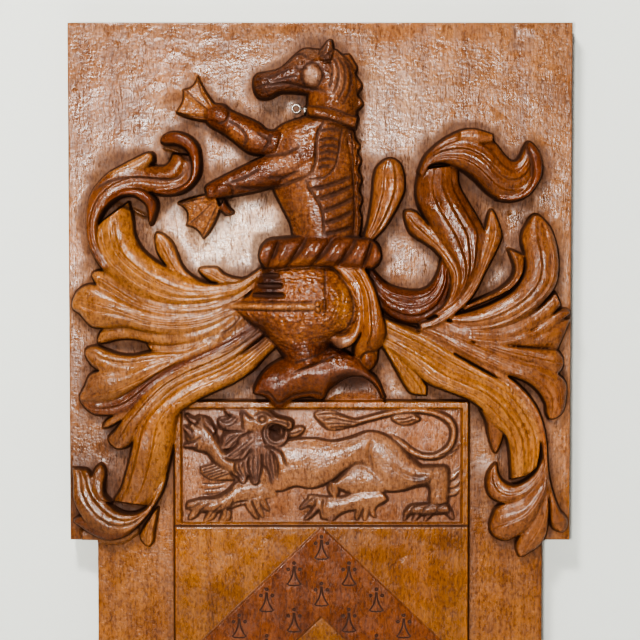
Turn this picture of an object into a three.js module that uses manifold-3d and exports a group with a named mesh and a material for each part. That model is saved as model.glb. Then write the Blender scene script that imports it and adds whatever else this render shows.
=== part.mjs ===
// Carved coat of arms: a thick oak wall panel with a sea-horse crest, a closed helmet,
// leaf mantling and a shield, all cut from one solid board.
// Millimetres, +Z up. The origin is the middle of the flat back, and the carving faces -Y.

import * as THREE from "three";
import { mergeVertices } from "three/addons/utils/BufferGeometryUtils.js";
import Module from "manifold-3d";

const wasm = await Module();
wasm.setup();

// Board
const carvingWidth = 600;
const sideMargin = 1;
const topMargin = 21;
const bottomMargin = 48;
const earWidth = 33;
const earDrop = 620;
const boardThickness = 28;

// Relief above the board
const reliefDepth = 48;
const rootDepth = 6;
const overlap = 0.35;

// Shield and what is on it
const shieldWidth = 354;
const shieldHeight = 494;
const shieldRise = 11;
const shieldCorner = 62;
const shieldPoint = 40;
const chiefHeight = 147;
const chiefSink = 5;
const chiefSideRim = 9;
const chiefTopRim = 6;
const chiefFloorRim = 2.5;
const lionDepth = 10;
const chevronBand = 79;
const chevronRise = 1.2;
const chevronSlope = 0.96;
const ermineWidth = 19;
const ermineHeight = 28;
const ermineDepth = 1;
const erminePitch = 33;
const ermineRows = [12.6, 69];
const ermineOnArm = 4;

// Helmet slots
const slotLength = 25;
const slotWidth = 3.4;
const slotPitch = 10.4;
const slotDepth = 5;
const slotCount = 3;

// Twisted torse
const twistCount = 4;
const twistPitch = 30;
const twistWidth = 25.8;
const twistLean = 15.6;

// Metal at the collar
const ringMeanRadius = 4.5;
const ringWireRadius = 1.4;
const shankRadius = 1.1;
const shankInWood = 6;
const plateRadius = 5.2;
const plateThickness = 2.6;
const metalGap = 0.3;

// The carving is drawn on a grid 500 steps wide, with the panel's middle line at x = 0
// and the shield's top edge at z = 37. Heights are in steps too, 40 for the top of the helmet.
const gridStep = carvingWidth / 500;
const heightStep = reliefDepth / 40;
const shieldTopShare = 37 / 500;
const carvingTopShare = 398 / 500;

const panelHalfWidth = carvingWidth / 2 + sideMargin;
const shieldTop = carvingWidth * shieldTopShare;
const panelTop = carvingWidth * carvingTopShare + topMargin;
const panelBottom = shieldTop - shieldHeight - bottomMargin;
const middle = (panelTop + panelBottom) / 2;
const boardFront = -boardThickness;

// Leaves, limbs and other rounded forms. Each runs from its tip to its root, and a station
// holds the two edges as [x, z, x, z], or one [x, z] where the form ends in a point.
const leftMantling = [
  { name: "low tab", rise: [4], grooves: [],
    path: [[-239, -102, -241, -90], [-208, -105.5, -208, -97], [-195, -103, -195, -95],
      [-182, -94, -182, -88]] },
  { name: "left tail leaf", rise: [8, 11], grooves: [],
    path: [[-172, -107], [-179, -101, -167, -101], [-179, -92, -166, -92], [-166, -71, -162, -68]] },
  { name: "long strand", rise: [14, 18, 20, 18, 16], grooves: [0.6],
    path: [[-170, -66, -207, -61], [-156, -43, -196, -38], [-147, -8, -188, -8], [-141, 27, -176, 23],
      [-112, 45.5, -143, 55], [-84, 58.5, -100, 74], [-66, 71, -80, 86], [-40, 97, -46, 112]] },
  { name: "round end strand", rise: [11, 17, 18, 17], grooves: [0.55],
    path: [[-203, -8.5], [-190, -5, -212, 1], [-180, 17, -195, 23], [-158, 42, -172, 49],
      [-143, 55, -156, 62], [-122, 65, -132, 76], [-84, 84, -86, 97], [-48, 112, -48, 124]] },
  { name: "low hook", rise: [7, 11, 12], grooves: [],
    path: [[-217.5, 12.5], [-209, 14, -212, 21], [-190, 26, -193, 33], [-178, 38, -180, 44]] },
  { name: "lobe underside", rise: [9, 15, 17, 16], grooves: [0.5],
    path: [[-240, 41], [-232, 30, -231, 41], [-220, 25, -218, 39.5], [-193, 29, -196, 46.5],
      [-166, 53.5, -170, 63.5], [-148, 67, -150, 75.5], [-103, 88, -104, 97], [-84, 99, -84, 107],
      [-60, 114, -60, 122]] },
  { name: "lower lobe", rise: [11, 19, 22, 18, 16], grooves: [0.3],
    path: [[-240, 42.5], [-231, 39, -235, 54], [-220, 38.5, -229, 66], [-207, 40, -213, 71],
      [-193, 48, -197, 71], [-160, 69, -163, 80], [-138, 80.5, -140, 86], [-115, 90, -117, 96.5],
      [-95, 101, -96, 108], [-78, 115, -79, 121], [-58, 126, -60, 132]] },
  { name: "boat leaf", rise: [10, 18, 20, 18, 15], grooves: [0.62],
    path: [[-234.5, 90], [-231, 79, -224, 94.5], [-222, 71, -212, 90], [-193, 68, -185, 85.5],
      [-178, 71, -170, 88.5], [-143, 80, -140, 88.5], [-100, 95, -98, 103], [-82, 109, -81, 116]] },
  { name: "wedge leaf", rise: [11, 17, 18], grooves: [],
    path: [[-168, 89, -173, 97], [-145, 86, -145, 96.5], [-105, 99.5, -107, 107.5], [-72, 124, -74, 131]] },
  { name: "eye leaf", rise: [9, 16, 19, 18], grooves: [],
    path: [[-222, 98], [-213, 98, -217, 111], [-185, 101, -188, 116], [-152, 96, -152, 110.5],
      [-110, 104.5, -112, 114.5], [-76, 128, -78, 134]] },
  { name: "round lobe", rise: [12, 22, 25, 21, 18], grooves: [0.4, 0.6],
    path: [[-247, 134], [-239, 126, -242, 149], [-228, 114, -229, 156], [-213, 112.5, -214, 151],
      [-195, 114, -198, 141], [-175, 110, -178, 132], [-153, 107, -155, 127], [-130, 107, -132, 127],
      [-108, 113, -110, 130], [-72, 134, -72, 144]] },
  { name: "tip leaf", rise: [9, 17, 20, 19, 17], grooves: [0.5],
    path: [[-227, 166.5], [-216, 150, -207, 167], [-186, 134, -178, 146], [-165, 128, -160, 138],
      [-115, 129, -112, 138], [-76, 143, -75, 153], [-60, 157, -60, 166]] },
  { name: "small leaf", rise: [9, 15, 17], grooves: [],
    path: [[-162.5, 207], [-162.5, 190, -148, 199], [-151, 172, -138, 176], [-140, 163, -129, 165.5],
      [-108, 152, -104, 155.5]] },
  { name: "fall", rise: [20, 24, 24, 22, 19], grooves: [0.3, 0.52, 0.62],
    path: [[-222, 214, -190, 238], [-229, 200, -186, 222], [-219, 175, -178, 193], [-192, 151, -156, 175],
      [-148, 135, -126, 160], [-120, 137, -108, 156.5], [-80, 149, -77, 160], [-60, 163, -58, 173]] },
  { name: "leaf curl", rise: [9, 14, 16], grooves: [],
    path: [[-120.5, 171], [-111, 160, -104, 173], [-102, 157, -96, 166.5], [-90, 154, -85, 162.5],
      [-76, 156, -72, 163], [-56, 168, -54, 175]] },
  { name: "scroll", rise: [12, 20, 26, 28, 27, 25, 22], grooves: [0.5],
    path: [[-146, 286, -127, 284], [-149, 278, -122, 271], [-155, 273.5, -128, 253],
      [-166, 274, -147, 246], [-196, 273, -180, 248], [-221, 255, -205, 238], [-231.5, 228, -219.5, 217],
      [-229.5, 197, -219, 195], [-215, 171, -208, 173]] },
  { name: "scroll lip", rise: [24, 27], grooves: [],
    path: [[-167.5, 286.5], [-166.5, 276, -182, 281.5], [-196, 258, -209, 267]] },
  { name: "scroll fold", rise: [22, 30, 31, 28, 20], grooves: [],
    path: [[-168, 215], [-171, 232, -161, 233], [-176, 239, -165, 243], [-185, 244, -175, 249.5],
      [-196, 243.5, -190, 250.5], [-207, 238, -203, 246], [-215, 229, -213, 236], [-220, 217, -219, 222]] },
  { name: "scroll rim", rise: [20, 28, 31, 30, 22], grooves: [],
    path: [[-157.5, 298], [-152, 295, -153, 304.5], [-142, 294.5, -142, 307], [-133, 290, -128, 301.5],
      [-127.5, 281, -120, 291], [-129, 259, -121, 261], [-138, 252, -133, 249], [-150, 249, -149, 244.5],
      [-163, 249, -165, 246]] },
  { name: "curl", rise: [10, 18, 20, 21, 19, 14], grooves: [0.45, 0.75],
    path: [[-153, -36, -155, -35], [-158, -52, -163, -50], [-167, -67, -170, -64],
      [-178, -81, -182, -72.5], [-192, -92, -194, -73.5], [-210, -95, -205, -69], [-228, -87, -214, -60],
      [-246.5, -58, -226, -42], [-246.5, -42, -229, -34], [-248, -28, -234, -29]] },
  { name: "curl tip", rise: [8, 15, 17, 15], grooves: [],
    path: [[-247, -81], [-229, -94, -229, -77], [-213, -100, -212, -84], [-196, -96.5, -196, -85],
      [-181, -85, -180, -77], [-168, -70, -168, -66]] },
  { name: "curl horn", rise: [9, 16, 19], grooves: [],
    path: [[-219, -24], [-225.5, -30, -214.5, -32], [-226.5, -48, -215.5, -53.5], [-222, -56, -208, -63]] },
];

const rightMantling = [
  { name: "left tail", rise: [10, 14, 15], grooves: [0.35, 0.68],
    path: [[93.5, 46, 106.5, 45], [86, 52.5, 104, 58], [66, 88, 76, 90], [56, 101, 62, 103]] },
  { name: "tail strip", rise: [12, 14, 17, 16, 15], grooves: [],
    path: [[231, -85, 248, -80], [230, -72, 240, -70], [226, -40, 229.5, -38], [223, -22, 227.5, -20],
      [217, 14, 223, 16], [210, 29, 216, 34], [198, 45, 203, 51], [181, 60, 186, 65.5],
      [160, 73, 165, 78.5], [120, 95, 123, 102], [98, 106, 102, 112]] },
  { name: "tail strip end", rise: [7, 12], grooves: [],
    path: [[243.5, -92.5], [233, -88, 248.5, -84], [231, -78, 244, -74]] },
  { name: "inner strand", rise: [14, 17, 18, 18, 16], grooves: [0.5],
    path: [[208, -34, 217, -27], [210, -12, 220, -8], [202, 18, 213, 25], [182, 44, 192, 52],
      [150, 63, 157, 73], [130, 72.5, 136, 85], [92, 95, 98, 107], [68, 107, 72, 119],
      [50, 117, 54, 130]] },
  { name: "small lobe", rise: [9, 14, 17], grooves: [],
    path: [[175.5, -13], [168, 6, 184, 8], [166, 18, 180, 18], [160, 31, 172, 29]] },
  { name: "broad strand", rise: [14, 19, 22, 22, 19, 17], grooves: [0.35, 0.7],
    path: [[190.5, -39, 208, -35], [190, -22, 210, -15], [188, -4, 208, 2], [183, 8, 202, 17],
      [172, 18, 194, 31], [163, 30, 183, 43], [148, 41, 168, 54], [108, 57, 130, 72], [78, 84, 92, 94],
      [58, 98, 64, 108]] },
  { name: "hook", rise: [8, 15, 17, 16, 15], grooves: [0.5],
    path: [[176, -23], [168, -33, 178, -32], [166.5, -46, 181, -38.5], [171, -57, 187, -43.5],
      [182, -62.5, 194, -45], [207, -56, 210, -37], [224, -34, 222, -18]] },
  { name: "bottom leaf", rise: [9, 14, 16, 16], grooves: [0.5],
    path: [[200.5, -117], [212, -112, 196.5, -106], [222, -103.5, 200, -96], [228.5, -78, 215, -76],
      [228.5, -60, 221, -60], [228, -40, 223, -40]] },
  { name: "big lobe", rise: [10, 17, 19, 18], grooves: [0.5],
    path: [[170, -89], [177, -98.5, 173, -75], [190, -100, 180, -65], [209, -87, 203, -57.5],
      [223, -60, 220, -39], [227, -40, 224, -24]] },
  { name: "long lobe", rise: [10, 17, 21, 20, 18], grooves: [0.33, 0.66],
    path: [[231, 21], [226, 27, 242.5, 28], [225, 36, 246, 45], [219, 47, 245, 58], [209, 56.5, 235, 68],
      [180, 68, 202, 80], [148, 84, 163, 94.5], [96, 111, 110, 116]] },
  { name: "pod", rise: [12, 19, 20, 18], grooves: [0.5],
    path: [[243, 78], [237, 67, 237, 89.5], [226, 72, 224, 91.5], [180, 88, 178, 96],
      [148, 101, 146, 105]] },
  { name: "fan leaf", rise: [10, 16, 17], grooves: [],
    path: [[237, 90.5, 249.5, 121], [230, 91.5, 240, 120], [216, 93, 226, 110], [190, 95, 198, 99.5],
      [175, 96, 180, 99]] },
  { name: "long tip", rise: [9, 18, 19, 18], grooves: [],
    path: [[249.5, 128], [243, 122, 240, 131], [220, 105.5, 216, 113.5], [185, 96.5, 184, 102.5],
      [148, 100.5, 148, 105.5], [131, 107, 132, 113], [112, 113, 114, 119]] },
  { name: "scallop leaf", rise: [14, 18, 19, 18], grooves: [],
    path: [[240, 135, 234, 148.5], [220, 116.5, 212, 129], [186, 102, 180, 113], [148, 104, 145, 113],
      [133, 111, 130, 119], [116, 117, 113, 124]] },
  { name: "tall lobe", rise: [14, 22, 25, 23, 20], grooves: [0.4],
    path: [[214, 225.5], [234, 200, 200, 200], [237, 170, 204, 172], [224, 141, 190, 148.5],
      [196, 119, 162, 133.5], [158, 110, 138, 127], [138, 113, 126, 124]] },
  { name: "side hook", rise: [14, 19, 20, 18], grooves: [0.5],
    path: [[203, 185, 187, 191.5], [201, 167, 193, 169], [187, 150, 178, 151], [143, 130, 141, 134]] },
  { name: "under curl", rise: [13, 15, 16, 17, 16, 12], grooves: [0.33, 0.66],
    path: [[123, 186], [129, 157, 117, 167], [119, 130.5, 107, 153], [95, 116.5, 90, 150],
      [66, 127, 66, 157], [50, 153, 48, 176]] },
  { name: "right horn", rise: [12, 20, 22, 22, 20], grooves: [0.5],
    path: [[170.5, 230.5], [164, 213, 180, 209], [161, 200, 178, 196], [154, 171, 165, 170],
      [140, 144, 150, 142], [116, 124, 123, 119], [98, 117, 100, 111.5]] },
  { name: "left horn", rise: [11, 18, 21, 21], grooves: [0.5],
    path: [[84, 227.5], [86, 215, 92, 229.5], [92, 205, 101, 223], [114, 190, 120, 200],
      [127.5, 170, 138, 177], [127, 143, 138, 150], [119, 131, 130, 138], [106, 123, 114, 127]] },
  { name: "trunk", rise: [20, 26, 27, 26, 24, 20], grooves: [0.35, 0.62, 0.84],
    path: [[99, 270, 137, 275], [95, 252, 138, 255], [97, 236, 147, 238], [105, 221, 156, 223],
      [117, 203, 163, 208], [136, 176, 157, 178], [136, 150, 144, 150], [128, 138, 134, 138],
      [112, 127, 118, 124]] },
  { name: "wave", rise: [20, 27, 31, 31, 28, 26, 22], grooves: [0.28, 0.52, 0.76],
    path: [[102, 262, 97, 267], [108, 273, 104, 283], [118, 276, 115, 294], [141, 269, 143, 309],
      [152, 261, 160, 306], [170, 244, 182, 285], [182, 239.5, 189, 278.5], [197, 240, 195, 279],
      [209, 248, 199.5, 285], [216.5, 261, 202, 291], [218.5, 276, 204.5, 295]] },
  { name: "wave lip", rise: [30, 33, 31], grooves: [],
    path: [[170.5, 297, 170.5, 304.5], [149, 297, 149, 310], [137, 298, 137, 307.5]] },
  { name: "wave rim", rise: [16, 26, 29, 27, 24], grooves: [],
    path: [[206.5, 297.5], [203.5, 290, 213.5, 292], [207, 278, 219, 280], [209.5, 266, 219, 266],
      [207, 255, 214, 254], [199, 246.5, 205, 243.5], [188, 243, 190, 238.5], [177, 244, 175, 240]] },
  { name: "hood", rise: [22, 30, 32, 30, 27], grooves: [0.45],
    path: [[36, 84, 60, 92.5], [35, 96, 64, 103], [41, 110, 64.5, 115], [43, 140, 56, 147],
      [29, 169, 42, 175], [14, 178, 30, 184]] },
  { name: "hood curl", rise: [14, 22], grooves: [],
    path: [[49, 70.5], [37, 77, 56.5, 79], [33, 87, 58, 91], [34, 97, 60, 99]] },
  { name: "hood hook", rise: [20, 29, 30, 29, 26], grooves: [],
    path: [[9.5, 113], [13, 107, 10.5, 99.5], [20, 105.5, 19, 92.5], [28, 108, 31, 96], [37, 127, 43, 122],
      [31, 153, 39, 156], [9, 176, 15, 182]] },
  { name: "side leaf", rise: [14, 20, 21, 18], grooves: [0.35, 0.7],
    path: [[69, 281], [57, 273, 80, 275], [52, 246, 82, 244], [47.5, 218, 67, 216], [41, 196, 49, 196]] },
];

const seaHorse = [
  { name: "mane", rise: [9, 12, 10], grooves: [],
    path: [[20, 383, 29, 384], [28, 372, 38.5, 367], [33, 338, 43, 336], [32, 322, 38, 319]] },
  { name: "back fin", rise: [12, 14], grooves: [0.5],
    path: [[24, 311, 33, 309], [27, 297, 38.5, 293], [32, 262, 40, 260], [32, 200, 39, 200]] },
  { name: "upper toe web", rise: [12, 17], grooves: [],
    path: [[-137.5, 350, -121, 365], [-118, 331.5, -108, 338], [-107, 325, -100, 333]] },
  { name: "lower toe web", rise: [10, 15], grooves: [],
    path: [[-143.5, 326, -134.5, 342], [-133, 319.5, -126, 336], [-108, 317, -105, 327]] },
  { name: "upper arm", rise: [20, 22, 25, 27], grooves: [],
    path: [[-114, 319, -111, 331], [-109, 313.5, -103, 334.5], [-101, 308.5, -94, 333],
      [-92, 303, -87, 327.5], [-72, 287.5, -63, 317], [-60, 284.5, -52, 309], [-45, 284, -38, 308]] },
  { name: "body", rise: [25, 29, 31, 31, 30], grooves: [],
    path: [[-14, 323, 31, 313], [-38, 314, 27, 300], [-52, 300, 29, 286], [-55, 284, 31, 270],
      [-48, 268, 32.5, 256], [-46, 250, 33.5, 242], [-30, 217, 33.5, 214], [-27, 199, 33, 197]] },
  { name: "front foot web", rise: [11, 16], grooves: [],
    path: [[-132, 216, -143.5, 237], [-109, 235, -113, 247], [-99, 239, -103, 251]] },
  { name: "rear foot web", rise: [11, 16], grooves: [],
    path: [[-116, 199.5, -134.5, 215], [-108, 212, -122, 225], [-95, 235, -102, 243]] },
  { name: "lower arm", rise: [21, 24, 29, 33, 31], grooves: [],
    path: [[-111, 240, -114, 251], [-103, 241, -107, 257.5], [-56, 250, -60, 281], [-7, 270, -4, 304]] },
  { name: "neck", rise: [20, 27, 29, 29, 28], grooves: [],
    path: [[2, 389, 16, 388], [-6, 372, 31, 373], [-11, 352, 36, 356], [-12.5, 328, 36, 329],
      [-12, 319, 33, 310]] },
  { name: "head", rise: [18, 26, 29, 30, 28], grooves: [],
    path: [[-66, 353], [-61, 341.5, -63, 363.5], [-50, 340.5, -50, 366.5], [-38, 346, -38, 370.5],
      [-16, 345, -18, 388], [-4, 340, -4, 388.5], [8, 339, 11, 388]] },
  { name: "ear", rise: [25, 33], grooves: [],
    path: [[10, 398], [-1, 383, 13, 386], [2, 376, 11, 377]] },
  { name: "collar", rise: [25, 33, 33, 27], grooves: [],
    path: [[-13.5, 322.5, -13.5, 332.5], [0, 319.5, 2, 329.5], [35, 310, 37, 321]] },
];

const helmet = [
  { name: "gorget inside", rise: [14, 17, 14], grooves: [],
    path: [[4, 36, 4, 42], [14, 36, 14, 56], [33, 36, 33, 65], [51, 36, 51, 61], [63, 36, 64, 42]] },
  { name: "gorget", rise: [20, 25, 27, 27, 26, 24, 20], grooves: [],
    path: [[-66, 49], [-55, 44.5, -57, 68], [-41, 32, -43, 79], [-28, 40, -28, 86], [-12, 43.5, -10, 92],
      [2, 41, 8, 95], [10, 52, 20, 92], [26, 63, 34, 84], [42, 64.5, 46, 72], [55, 56, 57, 61],
      [62.5, 43, 65, 43]] },
  { name: "throat", rise: [36, 33, 28], grooves: [],
    path: [[-52, 104, 16, 112], [-44, 94, 9, 102], [-27, 71, 4, 83]] },
  { name: "skull", rise: [22, 32, 38, 40, 40, 36, 30], grooves: [],
    path: [[-90, 135], [-78, 126, -78, 141], [-66, 115.5, -66, 151], [-54, 105, -57, 172],
      [-42, 92, -44, 180], [-27, 83, -25, 182], [-10, 84, -5, 183], [6, 92, 12, 178], [15, 102, 24, 165],
      [28, 109, 33, 150], [37, 130]] },
  { name: "visor bar", rise: [24, 34, 40.5, 42, 42.5, 42.5], grooves: [],
    path: [[-92, 132.5, -92, 137.5], [-40, 132.5, -40, 137.5], [2, 132.5, 2, 137.5]] },
  { name: "hinge", rise: [42, 43, 42], grooves: [],
    path: [[0, 129, 6, 129.5], [-1, 135.5, 7, 135.5], [0, 142, 6, 141.5]] },
];

const lion = [
  { name: "tail", rise: [5, 6, 6], grooves: [],
    path: [[68, 1, 70, 6], [104, -19, 104, -13.5], [131, -10, 126, -6], [136, 14, 130, 12],
      [129, 24, 124, 19.5], [97, 32, 97, 27.5], [64, 28, 65, 23.5], [33, 20, 34, 15]] },
  { name: "tail tuft", rise: [4, 7], grooves: [0.5],
    path: [[-5, 25.5], [4, 14, 3, 29.5], [14, 10.5, 13, 28.5], [36, 15, 36, 20]] },
  { name: "tail curl", rise: [4, 6], grooves: [],
    path: [[72, 22], [78, 17, 76, 26], [94, 17.5, 94, 26], [100, 21]] },
  { name: "far thigh", rise: [6, 8], grooves: [],
    path: [[16, -44], [31, -53.5, 32, -26], [45, -52, 44, -25], [58, -52, 53, -34]] },
  { name: "far shank", rise: [6, 7], grooves: [],
    path: [[2, -79, -2, -57], [12, -79, 8, -57], [26, -72, 21, -57.5], [60, -65, 52, -50],
      [68, -60, 62, -52]] },
  { name: "far paw", rise: [4, 7], grooves: [0.35, 0.7],
    path: [[-20, -80, -21, -62], [-10, -82, -10, -55], [4, -81, 4, -57]] },
  { name: "raised leg", rise: [6, 9, 9, 8], grooves: [],
    path: [[-134, 10, -121, 25], [-133, 0, -110, 21], [-124, -9.5, -106, 11], [-113, -13, -103, 3],
      [-104, -24, -97, -8], [-92, -32, -88, -17], [-77, -39, -74, -20]] },
  { name: "low foreleg", rise: [5, 8, 9], grooves: [],
    path: [[-133, -77, -133, -63], [-118, -81, -118, -58.5], [-103, -77, -104, -57], [-80, -65, -80, -41],
      [-43, -56, -48, -36]] },
  { name: "trunk body", rise: [11, 11, 10, 11, 12], grooves: [],
    path: [[-41, -53, -36, -3], [-25, -46, -22, 1], [-8, -48, -5, 1.5], [10, -41.5, 12, -1],
      [27, -29, 30, 2.5], [42, -24, 48, 8.5], [54, -36, 64, 5.5], [66, -50.5, 78, -4],
      [96, -46.5, 102, -26], [108, -45, 113, -27]] },
  { name: "hind leg", rise: [11, 10, 9], grooves: [],
    path: [[95, -46, 101, -26], [107, -45, 116, -25.5], [110, -52, 128, -28], [110, -65, 128, -63]] },
  { name: "hind paw", rise: [6, 9, 8], grooves: [0.3, 0.6],
    path: [[83, -81, 83, -76], [92, -81, 90, -67], [118, -77, 118, -63.5], [132, -80, 129, -67]] },
  { name: "mane back", rise: [8, 11, 11], grooves: [0.3, 0.6],
    path: [[-84, -24, -62, -43], [-84, -8, -38, -35], [-88, 6, -33, -12], [-86, 20, -40, 4],
      [-82, 31, -52, 12]] },
  { name: "mane lock 1", rise: [7, 12], grooves: [],
    path: [[-97, -17.5], [-86, -21, -91, -11], [-74, -17, -82, -2], [-62, -6, -68, 6]] },
  { name: "mane lock 2", rise: [8, 12], grooves: [],
    path: [[-77, -43], [-85, -31, -71, -33], [-83, -19, -69, -19], [-76, -8, -64, -7]] },
  { name: "mane lock 3", rise: [9, 13], grooves: [],
    path: [[-65, -44], [-71, -32, -56, -32], [-67, -5, -58, -5]] },
  { name: "mane lock 4", rise: [9, 13], grooves: [],
    path: [[-49, -42], [-57, -28, -42, -30], [-59, -3, -50, -3]] },
  { name: "mane lock 5", rise: [6, 10], grooves: [],
    path: [[-101, 21], [-99, 11, -88, 24], [-88, 8, -78, 27], [-74, 8, -68, 26]] },
  { name: "mane lock 6", rise: [6, 10], grooves: [],
    path: [[-95, 31], [-88, 22, -84, 31], [-76, 18, -74, 31]] },
  { name: "mane lock 7", rise: [6, 10], grooves: [],
    path: [[-97, -8], [-98, 3, -86, -8], [-90, 9, -79, 0], [-78, 12, -68, 5]] },
  { name: "skull head", rise: [10, 14, 15, 12], grooves: [],
    path: [[-79, 8, -80, 31], [-66, 4, -66, 31.5], [-54, 10, -52, 29.5], [-44, 16, -43, 24],
      [-33, 11, -31, 21], [-28, 12, -27, 18]] },
  { name: "jaw", rise: [8, 11, 9], grooves: [],
    path: [[-60, 4, -52, 13], [-53, -4, -49, 5], [-43, -6, -44, 1], [-35, -3, -38, 3], [-30, 8, -35, 10]] },
  { name: "tongue", rise: [5, 6], grooves: [],
    path: [[-16, 11], [-22, 4, -20, 14], [-33, 2, -32, 10]] },
];

// Torse: turns of twisted cloth, each leaning the same way, between two half-hidden ends.
const torse = [
  { name: "torse end left", rise: [26, 30, 26], grooves: [],
    path: [[-57, 172, -50, 172], [-60.5, 184, -47, 182], [-57, 195, -44, 192], [-46, 201, -40, 200]] },
  { name: "torse end right", rise: [26, 30, 26], grooves: [],
    path: [[48, 172, 56, 169.5], [52, 181, 60.5, 180], [54, 190, 59.5, 190], [52, 199, 54, 198]] },
];
const pitch = twistPitch / gridStep;
const across = twistWidth / gridStep;
const lean = twistLean / gridStep;
for (let i = 0; i < twistCount; i += 1) {
  // The middle turns stand a little higher than the outer ones.
  const outer = Math.abs(i - (twistCount - 1) / 2);
  const left = pitch * (i - (twistCount + 0.2) / 2) + 4;
  const sag = 2.2 * outer - 1;
  const low = 178 - sag;
  const high = 203.5 - sag / 3;
  torse.push({
    name: `twist ${i + 1}`,
    rise: [31, 38 - outer, 33],
    grooves: [],
    path: [
      [left, low, left + across, low],
      [left + 0.38 * lean, low + 9.5, left + across + 0.4 * lean, low + 9.5],
      [left + lean, high, left + across + 0.9 * lean, high],
    ],
  });
}

// Smooth edge line through points of the grid.
function edgeCurve(points) {
  const line = points.map(([x, z]) => new THREE.Vector3(x, 0, z));
  return new THREE.CatmullRomCurve3(line, false, "catmullrom", 0.5);
}

// The two edges of a form, as functions of a place t from 0 at its first station to 1 at its last.
function formEdges(path) {
  const first = path.map((station) => station.slice(0, 2));
  const second = path.map((station) => station.slice(-2));
  const startsInTip = path[0].length === 2;
  const endsInTip = path[path.length - 1].length === 2;
  if (startsInTip) {
    // One curve passes round the tip, so the tip is as round as the leaf is there.
    const around = edgeCurve([...first].reverse().concat(second.slice(1)));
    return [(t) => around.getPoint((1 - t) / 2), (t) => around.getPoint((1 + t) / 2)];
  }
  if (endsInTip) {
    const around = edgeCurve(first.concat([...second].reverse().slice(1)));
    return [(t) => around.getPoint(t / 2), (t) => around.getPoint(1 - t / 2)];
  }
  const firstEdge = edgeCurve(first);
  const secondEdge = edgeCurve(second);
  return [(t) => firstEdge.getPoint(t), (t) => secondEdge.getPoint(t)];
}

// Value at place t of a list of values spread evenly along a form.
function along(values, t) {
  const place = t * (values.length - 1);
  const step = Math.min(Math.floor(place), values.length - 2);
  if (values.length === 1) {
    return values[0];
  }
  return THREE.MathUtils.lerp(values[step], values[step + 1], place - step);
}

// Places across a form and how full it is at each: round when plain, dipped at each groove.
function crossSection(grooves, edgeShare, grooveDip) {
  if (grooves.length === 0) {
    return [[0, edgeShare], [0.28, 1], [0.72, 1], [1, edgeShare]];
  }
  const bounds = [0, ...grooves, 1];
  const section = [[0, edgeShare]];
  for (let i = 1; i < bounds.length; i += 1) {
    const ridge = (bounds[i - 1] + bounds[i]) / 2;
    section.push([ridge, roundness(ridge, edgeShare)]);
    const last = i === bounds.length - 1;
    section.push([bounds[i], last ? edgeShare : roundness(bounds[i], edgeShare) - grooveDip]);
  }
  return section;
}

function roundness(across, edgeShare) {
  return edgeShare + (1 - edgeShare) * Math.sqrt(1 - (2 * across - 1) ** 2);
}

// Places along a form, close enough that straight facets between them keep to its edges and height.
function placesAlong(rise, edges, closeness) {
  const pointAt = (edge, t) => edge(t).setY(along(rise, t));
  const between = (from, to) => {
    let widest = closeness;
    let place = null;
    for (const edge of edges) {
      const chord = new THREE.Line3(pointAt(edge, from), pointAt(edge, to));
      for (let i = 1; i < 16; i += 1) {
        const t = THREE.MathUtils.lerp(from, to, i / 16);
        const here = pointAt(edge, t);
        const gap = here.distanceTo(chord.closestPointToPoint(here, true, new THREE.Vector3()));
        if (gap > widest) {
          widest = gap;
          place = t;
        }
      }
    }
    if (place === null) {
      return [from];
    }
    return [...between(from, place), ...between(place, to)];
  };
  return [...between(0, 1), 1];
}

function gridPoint(x, z, depth) {
  return [x * gridStep, boardFront - depth, z * gridStep - middle];
}

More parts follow.
